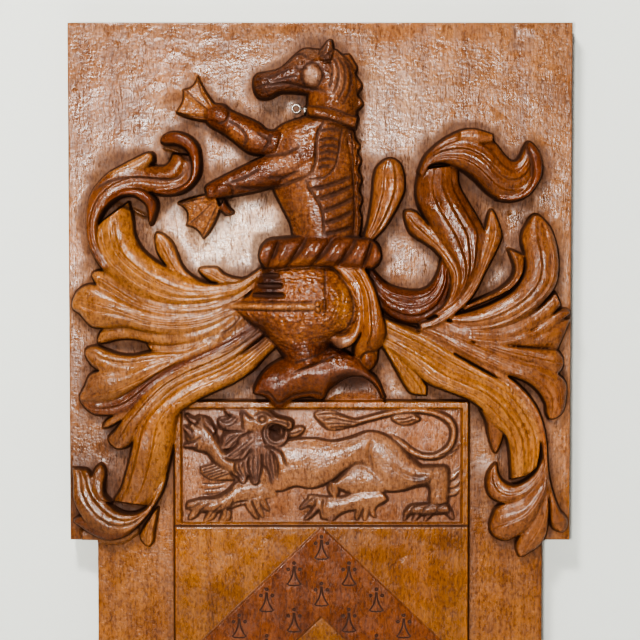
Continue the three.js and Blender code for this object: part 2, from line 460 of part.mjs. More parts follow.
// One rounded form as a closed solid, from below the board's face up to its own height.
// It is a little wider than drawn, so that forms side by side overlap and don't just touch.
function formSolid({ path, rise, grooves }, { closeness, edgeShare, grooveDip, base, scale }, order) {
  const edges = formEdges(path);
  const root = -rootDepth - 0.17 * (order % 9);
  const widen = overlap + 0.03 * (order % 7);
  const section = crossSection(grooves, edgeShare, grooveDip);
  const places = placesAlong(rise, edges, closeness);
  const startsInTip = path[0].length === 2;
  const endsInTip = path[path.length - 1].length === 2;
  const positions = [];
  const index = [];
  const rows = places.map((t, row) => {
    const a = edges[0](t);
    const b = edges[1](t);
    const outward = b.clone().sub(a).normalize().multiplyScalar(widen);
    a.sub(outward);
    b.add(outward);
    const height = along(rise, t) * scale;
    const atTip = (row === 0 && startsInTip) || (row === places.length - 1 && endsInTip);
    const add = (x, z, depth) => positions.push(gridPoint(x, z, depth)) - 1;
    if (atTip) {
      const top = add(a.x, a.z, base + height * (1 + edgeShare) / 2);
      const bottom = add(a.x, a.z, root);
      return { top: section.map(() => top), bottom: [bottom, bottom] };
    }
    const top = section.map(([across, fullness]) => {
      const x = THREE.MathUtils.lerp(a.x, b.x, across);
      const z = THREE.MathUtils.lerp(a.z, b.z, across);
      return add(x, z, base + height * fullness);
    });
    return { top, bottom: [add(a.x, a.z, root), add(b.x, b.z, root)] };
  });
  const face = (p, q, r) => {
    if (p !== q && q !== r && r !== p) {
      index.push(p, q, r);
    }
  };
  const last = section.length - 1;
  for (let i = 0; i < rows.length - 1; i += 1) {
    const here = rows[i];
    const next = rows[i + 1];
    for (let j = 0; j < last; j += 1) {
      face(here.top[j], next.top[j], next.top[j + 1]);
      face(here.top[j], next.top[j + 1], here.top[j + 1]);
    }
    face(here.bottom[0], here.bottom[1], next.bottom[1]);
    face(here.bottom[0], next.bottom[1], next.bottom[0]);
    face(here.top[0], here.bottom[0], next.bottom[0]);
    face(here.top[0], next.bottom[0], next.top[0]);
    face(here.top[last], next.top[last], next.bottom[1]);
    face(here.top[last], next.bottom[1], here.bottom[1]);
  }
  const startRing = [rows[0].bottom[1], ...[...rows[0].top].reverse(), rows[0].bottom[0]];
  const end = rows[rows.length - 1];
  const endRing = [end.bottom[0], ...end.top, end.bottom[1]];
  for (const ring of [startRing, endRing]) {
    for (let j = 1; j < ring.length - 1; j += 1) {
      face(ring[0], ring[j + 1], ring[j]);
    }
  }
  return solidOf(positions.flat(), index);
}

// Closed solid from vertex positions and triangles, turned the right way out.
function solidOf(positions, index) {
  let volume = 0;
  const corner = (i) => new THREE.Vector3().fromArray(positions, index[i] * 3);
  for (let i = 0; i < index.length; i += 3) {
    volume += corner(i).dot(corner(i + 1).cross(corner(i + 2)));
  }
  const triangles = volume < 0 ? [...index].reverse() : index;
  return new wasm.Manifold(new wasm.Mesh({
    numProp: 3,
    vertProperties: new Float32Array(positions),
    triVerts: new Uint32Array(triangles),
  }));
}

// Closed solid from a three.js geometry.
function solidFrom(geometry) {
  geometry.deleteAttribute("normal");
  geometry.deleteAttribute("uv");
  const merged = mergeVertices(geometry, 1e-4);
  return solidOf([...merged.attributes.position.array], [...merged.index.array]);
}

// Flat shape in x and z, thick from one depth to another in front of the board's face.
function plate(outline, fromDepth, toDepth) {
  const shape = new THREE.Shape(outline.map(([x, z]) => new THREE.Vector2(x, z)));
  const geometry = new THREE.ExtrudeGeometry(shape, { depth: toDepth - fromDepth, bevelEnabled: false });
  geometry.rotateX(Math.PI / 2);
  geometry.translate(0, boardFront - fromDepth, 0);
  return solidFrom(geometry);
}

function rectangle(left, right, low, high) {
  return [[left, low], [right, low], [right, high], [left, high]];
}

// Adds solids pair by pair, which keeps each join small.
function joinAll(solids) {
  let level = solids;
  while (level.length > 1) {
    const next = [];
    for (let i = 0; i < level.length; i += 2) {
      next.push(i + 1 < level.length ? level[i].add(level[i + 1]) : level[i]);
    }
    level = next;
  }
  return level[0];
}

function geometryOf(solid) {
  const mesh = solid.getMesh();
  const geometry = new THREE.BufferGeometry();
  geometry.setAttribute("position", new THREE.BufferAttribute(new Float32Array(mesh.vertProperties), 3));
  geometry.setIndex(new THREE.BufferAttribute(new Uint32Array(mesh.triVerts), 1));
  geometry.computeVertexNormals();
  return geometry;
}

// Board with an ear at each side of its upper part.
const top = panelTop - middle;
const bottom = panelBottom - middle;
const earBottom = top - earDrop;
const lowerHalfWidth = panelHalfWidth - earWidth;
const boardOutline = [
  [-lowerHalfWidth, bottom],
  [lowerHalfWidth, bottom],
  [lowerHalfWidth, earBottom],
  [panelHalfWidth, earBottom],
  [panelHalfWidth, top],
  [-panelHalfWidth, top],
  [-panelHalfWidth, earBottom],
  [-lowerHalfWidth, earBottom],
];
const board = plate(boardOutline, -boardThickness, 0);

// Shield with rounded lower corners and a small point, its middle just right of the panel's.
const shieldMiddle = 1.5 * gridStep;
const shieldLeft = shieldMiddle - shieldWidth / 2;
const shieldRight = shieldMiddle + shieldWidth / 2;
const shieldHigh = shieldTop - middle;
const shieldLow = shieldHigh - shieldHeight;
const cornerSteps = 5;
const shieldOutline = [[shieldLeft, shieldHigh]];
for (let i = 0; i <= cornerSteps; i += 1) {
  const angle = (Math.PI / 2) * (i / cornerSteps);
  shieldOutline.push([
    shieldLeft + shieldCorner * (1 - Math.cos(angle)),
    shieldLow + shieldPoint + shieldCorner * (1 - Math.sin(angle)),
  ]);
}
for (let i = 1; i < cornerSteps; i += 1) {
  const share = i / cornerSteps;
  shieldOutline.push([
    THREE.MathUtils.lerp(shieldLeft + shieldCorner, shieldMiddle, share),
    shieldLow + shieldPoint * (1 - share ** 2),
  ]);
}
shieldOutline.push([shieldMiddle, shieldLow]);
for (const [x, z] of shieldOutline.slice(0, -1).reverse()) {
  shieldOutline.push([2 * shieldMiddle - x, z]);
}
const shield = plate(shieldOutline, -rootDepth, shieldRise);
const chiefBottom = shieldHigh - chiefHeight;
const fieldDepth = shieldRise - chiefSink;
const chiefField = plate(
  rectangle(
    shieldLeft + chiefSideRim,
    shieldRight - chiefSideRim,
    chiefBottom + chiefFloorRim,
    shieldHigh - chiefTopRim,
  ),
  fieldDepth,
  shieldRise + 1,
);

// Chevron: a low raised band whose arms run out to the shield's sides.
const apex = [shieldMiddle, chiefBottom - 1];
const armRun = shieldWidth / 2 - 1;
const armDrop = armRun * chevronSlope;
const bandDrop = chevronBand * Math.hypot(1, chevronSlope);
const chevronOutline = [
  apex,
  [apex[0] - armRun, apex[1] - armDrop],
  [apex[0] - armRun, apex[1] - armDrop - bandDrop],
  [apex[0], apex[1] - bandDrop],
  [apex[0] + armRun, apex[1] - armDrop - bandDrop],
  [apex[0] + armRun, apex[1] - armDrop],
];
const chevron = plate(chevronOutline, 0, shieldRise + chevronRise)
  .intersect(plate(shieldOutline, -rootDepth, shieldRise + chevronRise));

// Ermine spots: a stem on a flared foot, sunk in the chevron in two rows along the band.
function ermineSpot(x, z) {
  const half = ermineWidth / 2;
  const outline = [
    [x - half, z - ermineHeight * 0.86],
    [x, z - ermineHeight],
    [x + half, z - ermineHeight * 0.86],
    [x + half * 0.22, z - ermineHeight * 0.4],
    [x, z],
    [x - half * 0.22, z - ermineHeight * 0.4],
  ];
  const face = shieldRise + chevronRise;
  return plate(outline, face - ermineDepth, face + 1);
}
const spots = [];
for (const rowDrop of ermineRows) {
  for (let i = -ermineOnArm; i <= ermineOnArm; i += 1) {
    const run = i * erminePitch;
    const z = apex[1] - Math.abs(run) * chevronSlope - rowDrop;
    spots.push(ermineSpot(apex[0] + run, z));
  }
}

// Eye slots of the visor.
const slotCuts = [];
for (let i = 0; i < slotCount; i += 1) {
  const slotRight = -37 * gridStep;
  const slotHigh = 163 * gridStep - middle - i * slotPitch;
  const length = slotLength + i * 3;
  slotCuts.push(plate(
    rectangle(slotRight - length, slotRight, slotHigh - slotWidth, slotHigh),
    (26 + i * 3) * heightStep - slotDepth,
    reliefDepth + 8,
  ));
}

// Ring with its shank, and the plate that the shank goes through.
const ringAt = [-23.5 * gridStep, boardFront - 11, 330 * gridStep - middle];
const collarFront = -13.5 * gridStep;
const shankEnd = collarFront + shankInWood;
const ring = new THREE.TorusGeometry(ringMeanRadius, ringWireRadius, 6, 16);
ring.rotateX(Math.PI / 2);
ring.translate(ringAt[0], ringAt[1], ringAt[2]);
const shankStart = ringAt[0] + ringMeanRadius;

function rodAlongX(radius, fromX, toX, y, z, sides = 10) {
  const rod = new THREE.CylinderGeometry(radius, radius, toX - fromX, sides);
  rod.rotateZ(Math.PI / 2);
  rod.translate((fromX + toX) / 2, y, z);
  return solidFrom(rod);
}

const [, ringY, ringZ] = ringAt;
const shank = rodAlongX(shankRadius, shankStart, shankEnd, ringY, ringZ);
const ringSolid = solidFrom(ring).add(shank);
const plateX = collarFront - 2 * metalGap - plateThickness / 2;
const plateZ = ringZ - 2.2;
const plateLeft = plateX - plateThickness / 2;
const plateRight = plateX + plateThickness / 2;
const plateHole = rodAlongX(shankRadius + metalGap, plateLeft - 1, plateRight + 1, ringY, ringZ);
const plateSolid = rodAlongX(plateRadius, plateLeft, plateRight, ringY, plateZ, 12).subtract(plateHole);
const metalRoom = joinAll([
  rodAlongX(shankRadius + metalGap, shankStart, shankEnd + metalGap, ringY, ringZ),
  rodAlongX(plateRadius + metalGap, plateLeft - metalGap, plateRight + metalGap, ringY, plateZ, 12),
]);

const leafStyle = { closeness: 2.6, edgeShare: 0.5, grooveDip: 0.14, base: 0, scale: heightStep };
const crestStyle = { ...leafStyle, closeness: 2.2, edgeShare: 0.55 };
const lionStyle = {
  closeness: 2.1,
  edgeShare: 0.4,
  grooveDip: 0.12,
  base: fieldDepth,
  scale: lionDepth / 15,
};

const formsOf = (list, style) => list.map((form, order) => formSolid(form, style, order));
const mantling = formsOf([...leftMantling, ...rightMantling], leafStyle);
const crest = joinAll(formsOf([...seaHorse, ...torse, ...helmet], crestStyle)).subtract(joinAll(slotCuts));
const charges = joinAll([shield.subtract(chiefField).add(chevron), ...formsOf(lion, lionStyle)]);
const arms = charges.subtract(joinAll(spots));
const panelSolid = joinAll([board, ...mantling, arms, crest]).subtract(metalRoom);

const oak = new THREE.MeshStandardMaterial({ color: 0x8a4f22, roughness: 0.42, metalness: 0 });
const metal = new THREE.MeshStandardMaterial({ color: 0x8d8a84, roughness: 0.35, metalness: 1 });

const coatOfArms = new THREE.Group();
for (const [name, solid, material] of [
  ["carved_panel", panelSolid, oak],
  ["collar_ring", ringSolid, metal],
  ["collar_plate", plateSolid, metal],
]) {
  const mesh = new THREE.Mesh(geometryOf(solid), material);
  mesh.name = name;
  coatOfArms.add(mesh);
}

export default coatOfArms;
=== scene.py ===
# Carved oak coat of arms: the relief is raised as one height field over the board,
# thinned to a mesh, closed at the back, and coloured by hollows, region and grain.

import math
import bpy
import bmesh
import numpy as np
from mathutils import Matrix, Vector
from mathutils.geometry import tessellate_polygon


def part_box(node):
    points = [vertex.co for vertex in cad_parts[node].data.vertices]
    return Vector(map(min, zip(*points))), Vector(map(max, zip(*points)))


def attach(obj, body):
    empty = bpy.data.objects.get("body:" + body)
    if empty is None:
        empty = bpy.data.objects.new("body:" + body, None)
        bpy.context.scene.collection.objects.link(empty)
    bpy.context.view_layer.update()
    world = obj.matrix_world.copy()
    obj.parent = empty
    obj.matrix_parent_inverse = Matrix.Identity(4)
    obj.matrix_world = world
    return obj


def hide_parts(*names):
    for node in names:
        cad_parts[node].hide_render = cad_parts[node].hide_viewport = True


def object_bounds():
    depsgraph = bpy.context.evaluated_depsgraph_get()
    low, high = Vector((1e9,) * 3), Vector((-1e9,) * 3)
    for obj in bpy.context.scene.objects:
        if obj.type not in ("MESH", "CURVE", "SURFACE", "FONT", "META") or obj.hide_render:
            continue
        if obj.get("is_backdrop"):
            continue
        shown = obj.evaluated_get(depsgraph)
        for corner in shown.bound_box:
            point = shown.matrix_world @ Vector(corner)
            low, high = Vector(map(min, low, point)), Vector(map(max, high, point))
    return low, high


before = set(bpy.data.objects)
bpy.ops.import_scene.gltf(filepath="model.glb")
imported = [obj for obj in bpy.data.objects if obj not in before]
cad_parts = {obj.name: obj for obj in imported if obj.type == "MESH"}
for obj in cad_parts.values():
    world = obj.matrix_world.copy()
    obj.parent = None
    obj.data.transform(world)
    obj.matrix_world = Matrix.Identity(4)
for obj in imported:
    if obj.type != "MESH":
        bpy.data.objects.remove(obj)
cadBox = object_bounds()
panelLow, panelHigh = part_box("carved_panel")

# everything about the board is in millimetres, and what is drawn on it is in grid steps
mm = 0.001
board = {
    "thickness": 28.0,
    "sideMargin": 1.0,
    "topMargin": 21.0,
    "earWidth": 33.0,
    "earDrop": 620.0,
    "arris": 1.5,  # how far the worn edge is rounded
    "carvingSteps": 500,  # the carving's width in grid steps
    "carvingTop": 398,  # grid steps
}
halfWidth = panelHigh[0] / mm
panelTop = panelHigh[2] / mm
panelBottom = panelLow[2] / mm
gridStep = 2 * (halfWidth - board["sideMargin"]) / board["carvingSteps"]
middle = board["carvingTop"] * gridStep + board["topMargin"] - panelTop
reliefStep = gridStep
earBottom = panelTop - board["earDrop"]
lowerHalfWidth = halfWidth - board["earWidth"]

# A form runs from tip to root: its name, heights along it, grooves across it, and its two edges
# as (x, z, x, z), or one (x, z) where it ends in a point. The panel's middle line is at x = 0.
leftMantling = [
    ("chin root", [15, 16, 14], [], [(-112, 86, -108, 104), (-92, 92, -92, 118), (-78, 98, -78, 128),
      (-57, 106, -62, 118)]),
    ("low tab", [4], [], [(-239, -102, -241, -90), (-208, -105.5, -208, -97), (-195, -103, -195, -95),
      (-182, -94, -182, -88)]),
    ("left tail leaf", [8, 11], [0.5], [(-172, -107), (-179, -101, -167, -101), (-179, -92, -166, -92),
      (-166, -71, -162, -68)]),
    ("long strand", [14, 18, 20, 18, 16], [0.5, 0.85], [(-170, -66, -207, -61), (-162, -56, -200, -50),
      (-156, -43, -196, -38), (-151, -25, -192, -24), (-147, -8, -188, -8), (-145, 10, -184, 8),
      (-141, 27, -176, 23), (-128, 37, -160, 41), (-112, 45.5, -143, 55), (-98, 52, -122, 65),
      (-84, 58.5, -100, 74), (-66, 71, -80, 86), (-53, 85, -62, 99), (-40, 97, -46, 112)]),
    ("round end strand", [11, 17, 18, 17], [0.55], [(-203, -8.5), (-190, -5, -212, 1), (-185, 6, -204, 11),
      (-180, 17, -195, 23), (-158, 42, -172, 49), (-143, 55, -156, 62), (-122, 65, -132, 76),
      (-103, 73, -108, 86), (-84, 84, -86, 97), (-64, 99, -64, 112), (-48, 112, -48, 124)]),
    ("low hook", [7, 11, 12], [], [(-217.5, 12.5), (-209, 14, -212, 21), (-190, 26, -193, 33),
      (-178, 38, -180, 44)]),
    ("lobe underside", [9, 15, 17, 16], [0.5], [(-240, 41), (-232, 30, -231, 41), (-220, 25, -218, 39.5),
      (-193, 29, -196, 46.5), (-166, 53.5, -170, 63.5), (-148, 67, -150, 75.5), (-125, 79, -126, 86.5),
      (-103, 88, -104, 97), (-84, 99, -84, 107), (-60, 114, -60, 122)]),
    ("lower lobe", [11, 19, 22, 18, 16], [0.3], [(-240, 42.5), (-231, 39, -235, 54), (-220, 38.5, -229, 66),
      (-207, 40, -213, 71), (-193, 48, -197, 71), (-178, 57, -182, 74), (-160, 69, -163, 80),
      (-138, 80.5, -140, 86), (-115, 90, -117, 96.5), (-95, 101, -96, 108), (-78, 115, -79, 121),
      (-58, 126, -60, 132)]),
    ("boat leaf", [10, 18, 20, 18, 15], [0.62], [(-234.5, 90), (-231, 79, -224, 94.5), (-222, 71, -212, 90),
      (-207, 67.5, -198, 86), (-193, 68, -185, 85.5), (-178, 71, -170, 88.5), (-162, 76, -157, 88),
      (-143, 80, -140, 88.5), (-122, 86, -120, 93.5), (-100, 95, -98, 103), (-82, 109, -81, 116)]),
    ("wedge leaf", [11, 17, 18], [], [(-168, 89, -173, 97), (-145, 86, -145, 96.5), (-105, 99.5, -107, 107.5),
      (-72, 124, -74, 131)]),
    ("eye leaf", [9, 16, 19, 18], [], [(-222, 98), (-213, 98, -217, 111), (-200, 101, -203, 116),
      (-185, 101, -188, 116), (-170, 97.5, -172, 113), (-152, 96, -152, 110.5), (-130, 98.5, -132, 110.5),
      (-110, 104.5, -112, 114.5), (-92, 115, -94, 124), (-76, 128, -78, 134)]),
    ("round lobe", [12, 22, 25, 21, 18], [0.4, 0.6], [(-247, 134), (-239, 126, -242, 149),
      (-228, 114, -229, 156), (-213, 112.5, -214, 151), (-195, 114, -198, 141), (-175, 110, -178, 132),
      (-153, 107, -155, 127), (-130, 107, -132, 127), (-108, 113, -110, 130), (-90, 123, -90, 137),
      (-72, 134, -72, 144)]),
    ("tip leaf", [9, 17, 20, 19, 17], [0.5], [(-227, 166.5), (-224, 158, -218, 170), (-216, 150, -207, 167),
      (-186, 134, -178, 146), (-165, 128, -160, 138), (-140, 127, -138, 135.5), (-115, 129, -112, 138),
      (-92, 135, -92, 144), (-76, 143, -75, 153), (-60, 157, -60, 166)]),
    ("small leaf", [9, 15, 17], [0.45], [(-162.5, 207), (-162.5, 190, -148, 199), (-151, 172, -138, 176),
      (-140, 163, -129, 165.5), (-126, 157, -116, 158.5), (-108, 152, -104, 155.5)]),
    ("fall", [20, 24, 24, 22, 19], [0.3, 0.52, 0.62], [(-222, 214, -190, 238), (-229, 200, -186, 222),
      (-226, 188, -184, 206), (-219, 175, -178, 193), (-208, 164, -168, 183), (-192, 151, -156, 175),
      (-172, 141, -142, 167), (-148, 135, -126, 160), (-120, 137, -108, 156.5), (-98, 142, -92, 157),
      (-80, 149, -77, 160), (-60, 163, -58, 173)]),
    ("leaf curl", [9, 14, 16], [0.5], [(-120.5, 171), (-111, 160, -104, 173), (-102, 157, -96, 166.5),
      (-90, 154, -85, 162.5), (-76, 156, -72, 163), (-56, 168, -54, 175)]),
    ("scroll", [12, 20, 26, 28, 27, 25, 22], [0.5], [(-146, 286, -127, 284), (-149, 278, -122, 271),
      (-155, 273.5, -128, 253), (-166, 274, -147, 246), (-180, 276, -165, 247), (-196, 273, -180, 248),
      (-210, 266, -193, 245), (-221, 255, -205, 238), (-228, 243, -214, 229), (-231.5, 228, -219.5, 217),
      (-232, 213, -221, 206), (-229.5, 197, -219, 195), (-224, 184, -214, 184), (-215, 171, -208, 173)]),
    ("scroll lip", [24, 27], [], [(-167.5, 286.5), (-166.5, 276, -182, 281.5), (-196, 258, -209, 267)]),
    ("scroll fold", [22, 30, 31, 28, 20], [], [(-168, 215), (-171, 232, -161, 233), (-176, 239, -165, 243),
      (-185, 244, -175, 249.5), (-196, 243.5, -190, 250.5), (-207, 238, -203, 246), (-215, 229, -213, 236),
      (-220, 217, -219, 222)]),
    ("scroll rim", [20, 28, 31, 30, 22], [], [(-157.5, 298), (-152, 295, -153, 304.5),
      (-142, 294.5, -142, 307), (-133, 290, -128, 301.5), (-127.5, 281, -120, 291), (-126, 269, -118, 275),
      (-129, 259, -121, 261), (-138, 252, -133, 249), (-150, 249, -149, 244.5), (-163, 249, -165, 246)]),
    ("curl", [10, 18, 20, 21, 19, 14], [0.45, 0.75], [(-153, -36, -155, -35), (-158, -52, -163, -50),
      (-167, -67, -170, -64), (-178, -81, -182, -72.5), (-192, -92, -194, -73.5), (-210, -95, -205, -69),
      (-228, -87, -214, -60), (-240, -73, -222, -50), (-246.5, -58, -226, -42), (-246.5, -42, -229, -34),
      (-248, -28, -234, -29)]),
    ("curl tip", [8, 15, 17, 15], [0.6], [(-247, -81), (-240, -87, -240, -76.5), (-229, -94, -229, -77),
      (-213, -100, -212, -84), (-196, -96.5, -196, -85), (-181, -85, -180, -77), (-168, -70, -168, -66)]),
    ("curl horn", [9, 16, 19], [], [(-219, -24), (-225.5, -30, -214.5, -32), (-228, -39, -216, -43),
      (-226.5, -48, -215.5, -53.5), (-222, -56, -208, -63)]),
]

rightMantling = [
    ("fan root", [14, 15, 14], [0.2, 0.4, 0.6, 0.8], [(58, 96, 58, 122), (84, 80, 88, 115),
      (108, 70, 112, 106), (132, 66, 134, 104)]),
    ("left tail", [10, 14, 15], [0.35, 0.68], [(93.5, 46, 106.5, 45), (86, 52.5, 104, 58), (66, 88, 76, 90),
      (56, 101, 62, 103)]),
    ("tail strip", [12, 14, 17, 16, 15], [], [(231, -85, 248, -80), (230, -72, 240, -70),
      (229, -57, 234, -55), (226, -40, 229.5, -38), (223, -22, 227.5, -20), (221, -3, 226.5, -3),
      (217, 14, 223, 16), (210, 29, 216, 34), (198, 45, 203, 51), (181, 60, 186, 65.5), (160, 73, 165, 78.5),
      (140, 84, 144, 90.5), (120, 95, 123, 102), (98, 106, 102, 112)]),
    ("tail strip end", [7, 12], [], [(243.5, -92.5), (233, -88, 248.5, -84), (231, -78, 244, -74)]),
    ("inner strand", [14, 17, 18, 18, 16], [0.5], [(208, -34, 217, -27), (210, -12, 220, -8),
      (208, 4, 219, 10), (202, 18, 213, 25), (193, 32, 204, 39), (182, 44, 192, 52), (167, 55, 177, 62),
      (150, 63, 157, 73), (130, 72.5, 136, 85), (112, 84, 116, 97), (92, 95, 98, 107), (68, 107, 72, 119),
      (50, 117, 54, 130)]),
    ("small lobe", [9, 14, 17], [], [(175.5, -13), (168, 6, 184, 8), (166, 18, 180, 18), (160, 31, 172, 29)]),
    ("broad strand", [14, 19, 22, 22, 19, 17], [0.35, 0.7], [(190.5, -39, 208, -35), (190, -22, 210, -15),
      (188, -4, 208, 2), (183, 8, 202, 17), (172, 18, 194, 31), (163, 30, 183, 43), (148, 41, 168, 54),
      (128, 49, 150, 62.5), (108, 57, 130, 72), (95, 69, 112, 83), (78, 84, 92, 94), (58, 98, 64, 108)]),
    ("hook", [8, 15, 17, 16, 15], [0.5], [(176, -23), (168, -33, 178, -32), (166.5, -46, 181, -38.5),
      (171, -57, 187, -43.5), (182, -62.5, 194, -45), (195, -61.5, 202, -42.5), (207, -56, 210, -37),
      (217, -46, 217, -29), (224, -34, 222, -18)]),
    ("bottom leaf", [9, 14, 16, 16], [0.5], [(200.5, -117), (212, -112, 196.5, -106), (222, -103.5, 200, -96),
      (227, -92, 207, -87), (228.5, -78, 215, -76), (228.5, -60, 221, -60), (228, -40, 223, -40)]),
    ("big lobe", [10, 17, 19, 18], [0.5], [(170, -89), (177, -98.5, 173, -75), (190, -100, 180, -65),
      (209, -87, 203, -57.5), (223, -60, 220, -39), (227, -40, 224, -24)]),
    ("long lobe", [10, 17, 21, 20, 18], [0.33, 0.66], [(231, 21), (226, 27, 242.5, 28), (225, 36, 246, 45),
      (219, 47, 245, 58), (209, 56.5, 235, 68), (195, 63, 220, 75), (180, 68, 202, 80), (148, 84, 163, 94.5),
      (130, 94, 146, 101), (113, 103.5, 128, 109), (96, 111, 110, 116)]),
    ("pod", [12, 19, 20, 18], [0.5], [(243, 78), (237, 67, 237, 89.5), (226, 72, 224, 91.5),
      (180, 88, 178, 96), (148, 101, 146, 105)]),
    ("fan leaf", [10, 16, 17], [], [(237, 90.5, 249.5, 121), (230, 91.5, 240, 120), (216, 93, 226, 110),
      (190, 95, 198, 99.5), (175, 96, 180, 99)]),
    ("long tip", [9, 18, 19, 18], [], [(249.5, 128), (243, 122, 240, 131), (220, 105.5, 216, 113.5),
      (203, 99, 200, 106.5), (185, 96.5, 184, 102.5), (165, 97, 165, 102), (148, 100.5, 148, 105.5),
      (131, 107, 132, 113), (112, 113, 114, 119)]),
    ("scallop leaf", [14, 18, 19, 18], [], [(240, 135, 234, 148.5), (220, 116.5, 212, 129),
      (186, 102, 180, 113), (148, 104, 145, 113), (133, 111, 130, 119), (116, 117, 113, 124)]),
    ("tall lobe", [14, 22, 25, 23, 20], [0.22, 0.52], [(214, 225.5), (228, 214, 203, 212),
      (234, 200, 200, 200), (236.5, 186, 203, 187), (237, 170, 204, 172), (234, 155, 199, 159),
      (224, 141, 190, 148.5), (212, 129.5, 177, 140.5), (196, 119, 162, 133.5), (178, 112.5, 148, 129),
      (158, 110, 138, 127), (138, 113, 126, 124)]),
    ("side hook", [14, 19, 20, 18], [0.5], [(203, 185, 187, 191.5), (201, 167, 193, 169),
      (187, 150, 178, 151), (143, 130, 141, 134)]),
    ("under curl", [13, 15, 16, 17, 16, 12], [0.25, 0.5, 0.75], [(123, 186), (129, 157, 117, 167),
      (119, 130.5, 107, 153), (95, 116.5, 90, 150), (66, 127, 66, 157), (50, 153, 48, 176)]),
    ("right horn", [12, 20, 22, 22, 20], [0.5], [(170.5, 230.5), (164, 213, 180, 209), (161, 200, 178, 196),
      (154, 171, 165, 170), (140, 144, 150, 142), (116, 124, 123, 119), (98, 117, 100, 111.5)]),
    ("left horn", [11, 18, 21, 21], [0.5], [(84, 227.5), (86, 215, 92, 229.5), (92, 205, 101, 223),
      (114, 190, 120, 200), (127.5, 170, 138, 177), (129.5, 157, 141, 164), (127, 143, 138, 150),
      (119, 131, 130, 138), (106, 123, 114, 127)]),
    ("trunk", [20, 26, 27, 26, 24, 20], [0.35, 0.62, 0.84], [(99, 270, 137, 275), (95, 252, 138, 255),
      (97, 236, 147, 238), (105, 221, 156, 223), (117, 203, 163, 208), (128, 189, 160, 193),
      (136, 176, 157, 178), (139, 163, 151, 163), (136, 150, 144, 150), (128, 138, 134, 138),
      (112, 127, 118, 124)]),
    ("wave", [20, 27, 31, 31, 28, 26, 22], [0.28, 0.52, 0.76], [(102, 262, 97, 267), (108, 273, 104, 283),
      (118, 276, 115, 294), (130, 274, 128, 303), (141, 269, 143, 309), (152, 261, 160, 306),
      (161, 252, 173, 296), (170, 244, 182, 285), (182, 239.5, 189, 278.5), (197, 240, 195, 279),
      (209, 248, 199.5, 285), (216.5, 261, 202, 291), (218.5, 276, 204.5, 295)]),
    ("wave lip", [30, 33, 31], [], [(170.5, 297, 170.5, 304.5), (160, 295.5, 161, 307.5),
      (149, 297, 149, 310), (137, 298, 137, 307.5)]),
    ("wave rim", [16, 26, 29, 27, 24], [], [(206.5, 297.5), (203.5, 290, 213.5, 292), (207, 278, 219, 280),
      (209.5, 266, 219, 266), (207, 255, 214, 254), (199, 246.5, 205, 243.5), (188, 243, 190, 238.5),
      (177, 244, 175, 240)]),
    ("hood", [22, 30, 32, 30, 27], [0.45], [(36, 84, 60, 92.5), (35, 96, 64, 103), (41, 110, 64.5, 115),
      (43, 140, 56, 147), (39, 155, 49, 163), (29, 169, 42, 175), (14, 178, 30, 184)]),
    ("hood curl", [14, 22], [], [(49, 70.5), (37, 77, 56.5, 79), (33, 87, 58, 91), (34, 97, 60, 99)]),
    ("hood hook", [20, 29, 30, 29, 26], [], [(9.5, 113), (13, 107, 10.5, 99.5), (20, 105.5, 19, 92.5),
      (28, 108, 31, 96), (34, 115, 39, 106), (37, 127, 43, 122), (36, 140, 43, 139), (31, 153, 39, 156),
      (21, 166, 29, 170), (9, 176, 15, 182)]),
    ("side leaf", [14, 20, 21, 18], [0.35, 0.7], [(69, 281), (57, 273, 80, 275), (53, 260, 84, 259),
      (52, 246, 82, 244), (47.5, 218, 67, 216), (41, 196, 49, 196)]),
]

seaHorseForms = [
    ("mane", [9, 12, 12, 12, 10], [0.55], [(20, 383, 29, 384), (27, 374, 36.5, 371), (28, 366, 35, 364),
      (30, 357, 41.5, 353), (31, 348, 37, 344), (32, 339, 42.5, 335), (32, 329, 36.5, 327),
      (32, 322, 38.5, 319)]),
    ("back fin", [12, 14], [0.35, 0.7], [(24, 311, 33, 309), (25, 303, 35.5, 299), (27, 297, 39.5, 293),
      (28, 290, 37, 286), (29, 283, 41, 279), (30, 272, 38, 270), (32, 262, 41.5, 260), (32, 252, 38.5, 250),
      (33, 242, 42, 240), (33, 232, 39, 230), (33, 222, 41.5, 221), (32, 200, 39, 200)]),
    ("dew claw", [15, 20], [], [(-86, 227.5), (-93, 225.5, -91, 232.5), (-100, 231, -95, 241)]),
    ("upper arm", [20, 22, 25, 27], [], [(-114, 319, -111, 331), (-109, 313.5, -103, 334.5),
      (-101, 308.5, -94, 333), (-92, 303, -87, 327.5), (-72, 287.5, -63, 317), (-60, 284.5, -52, 309),
      (-45, 284, -38, 308)]),
    ("body", [25, 29, 31, 31, 30], [], [(-14, 323, 31, 313), (-38, 314, 27, 300), (-52, 300, 29, 286),
      (-55, 284, 31, 270), (-48, 268, 32.5, 256), (-46, 250, 33.5, 242), (-30, 217, 33.5, 214),
      (-27, 199, 33, 197)]),
    ("lower arm", [21, 24, 29, 33, 31], [], [(-111, 240, -114, 251), (-103, 241, -107, 257.5),
      (-56, 250, -60, 281), (-22, 262, -24, 296), (-7, 270, -4, 304)]),
    ("neck", [20, 27, 29, 29, 28], [], [(2, 389, 16, 388), (-6, 372, 31, 373), (-11, 352, 36, 356),
      (-12.5, 328, 36, 329), (-12, 319, 33, 310)]),
    ("head", [18, 26, 29, 30, 28], [], [(-66, 353), (-61, 341.5, -63, 363.5), (-50, 340.5, -50, 366.5),
      (-38, 346, -38, 370.5), (-16, 345, -18, 388), (-4, 340, -4, 388.5), (8, 339, 11, 388)]),
    ("ear", [25, 33], [], [(10, 398), (-1, 383, 13, 386), (2, 376, 11, 377)]),
    ("collar", [25, 33, 33, 27], [], [(-13.5, 322.5, -13.5, 332.5), (0, 319.5, 2, 329.5),
      (35, 310, 37, 321)]),
]

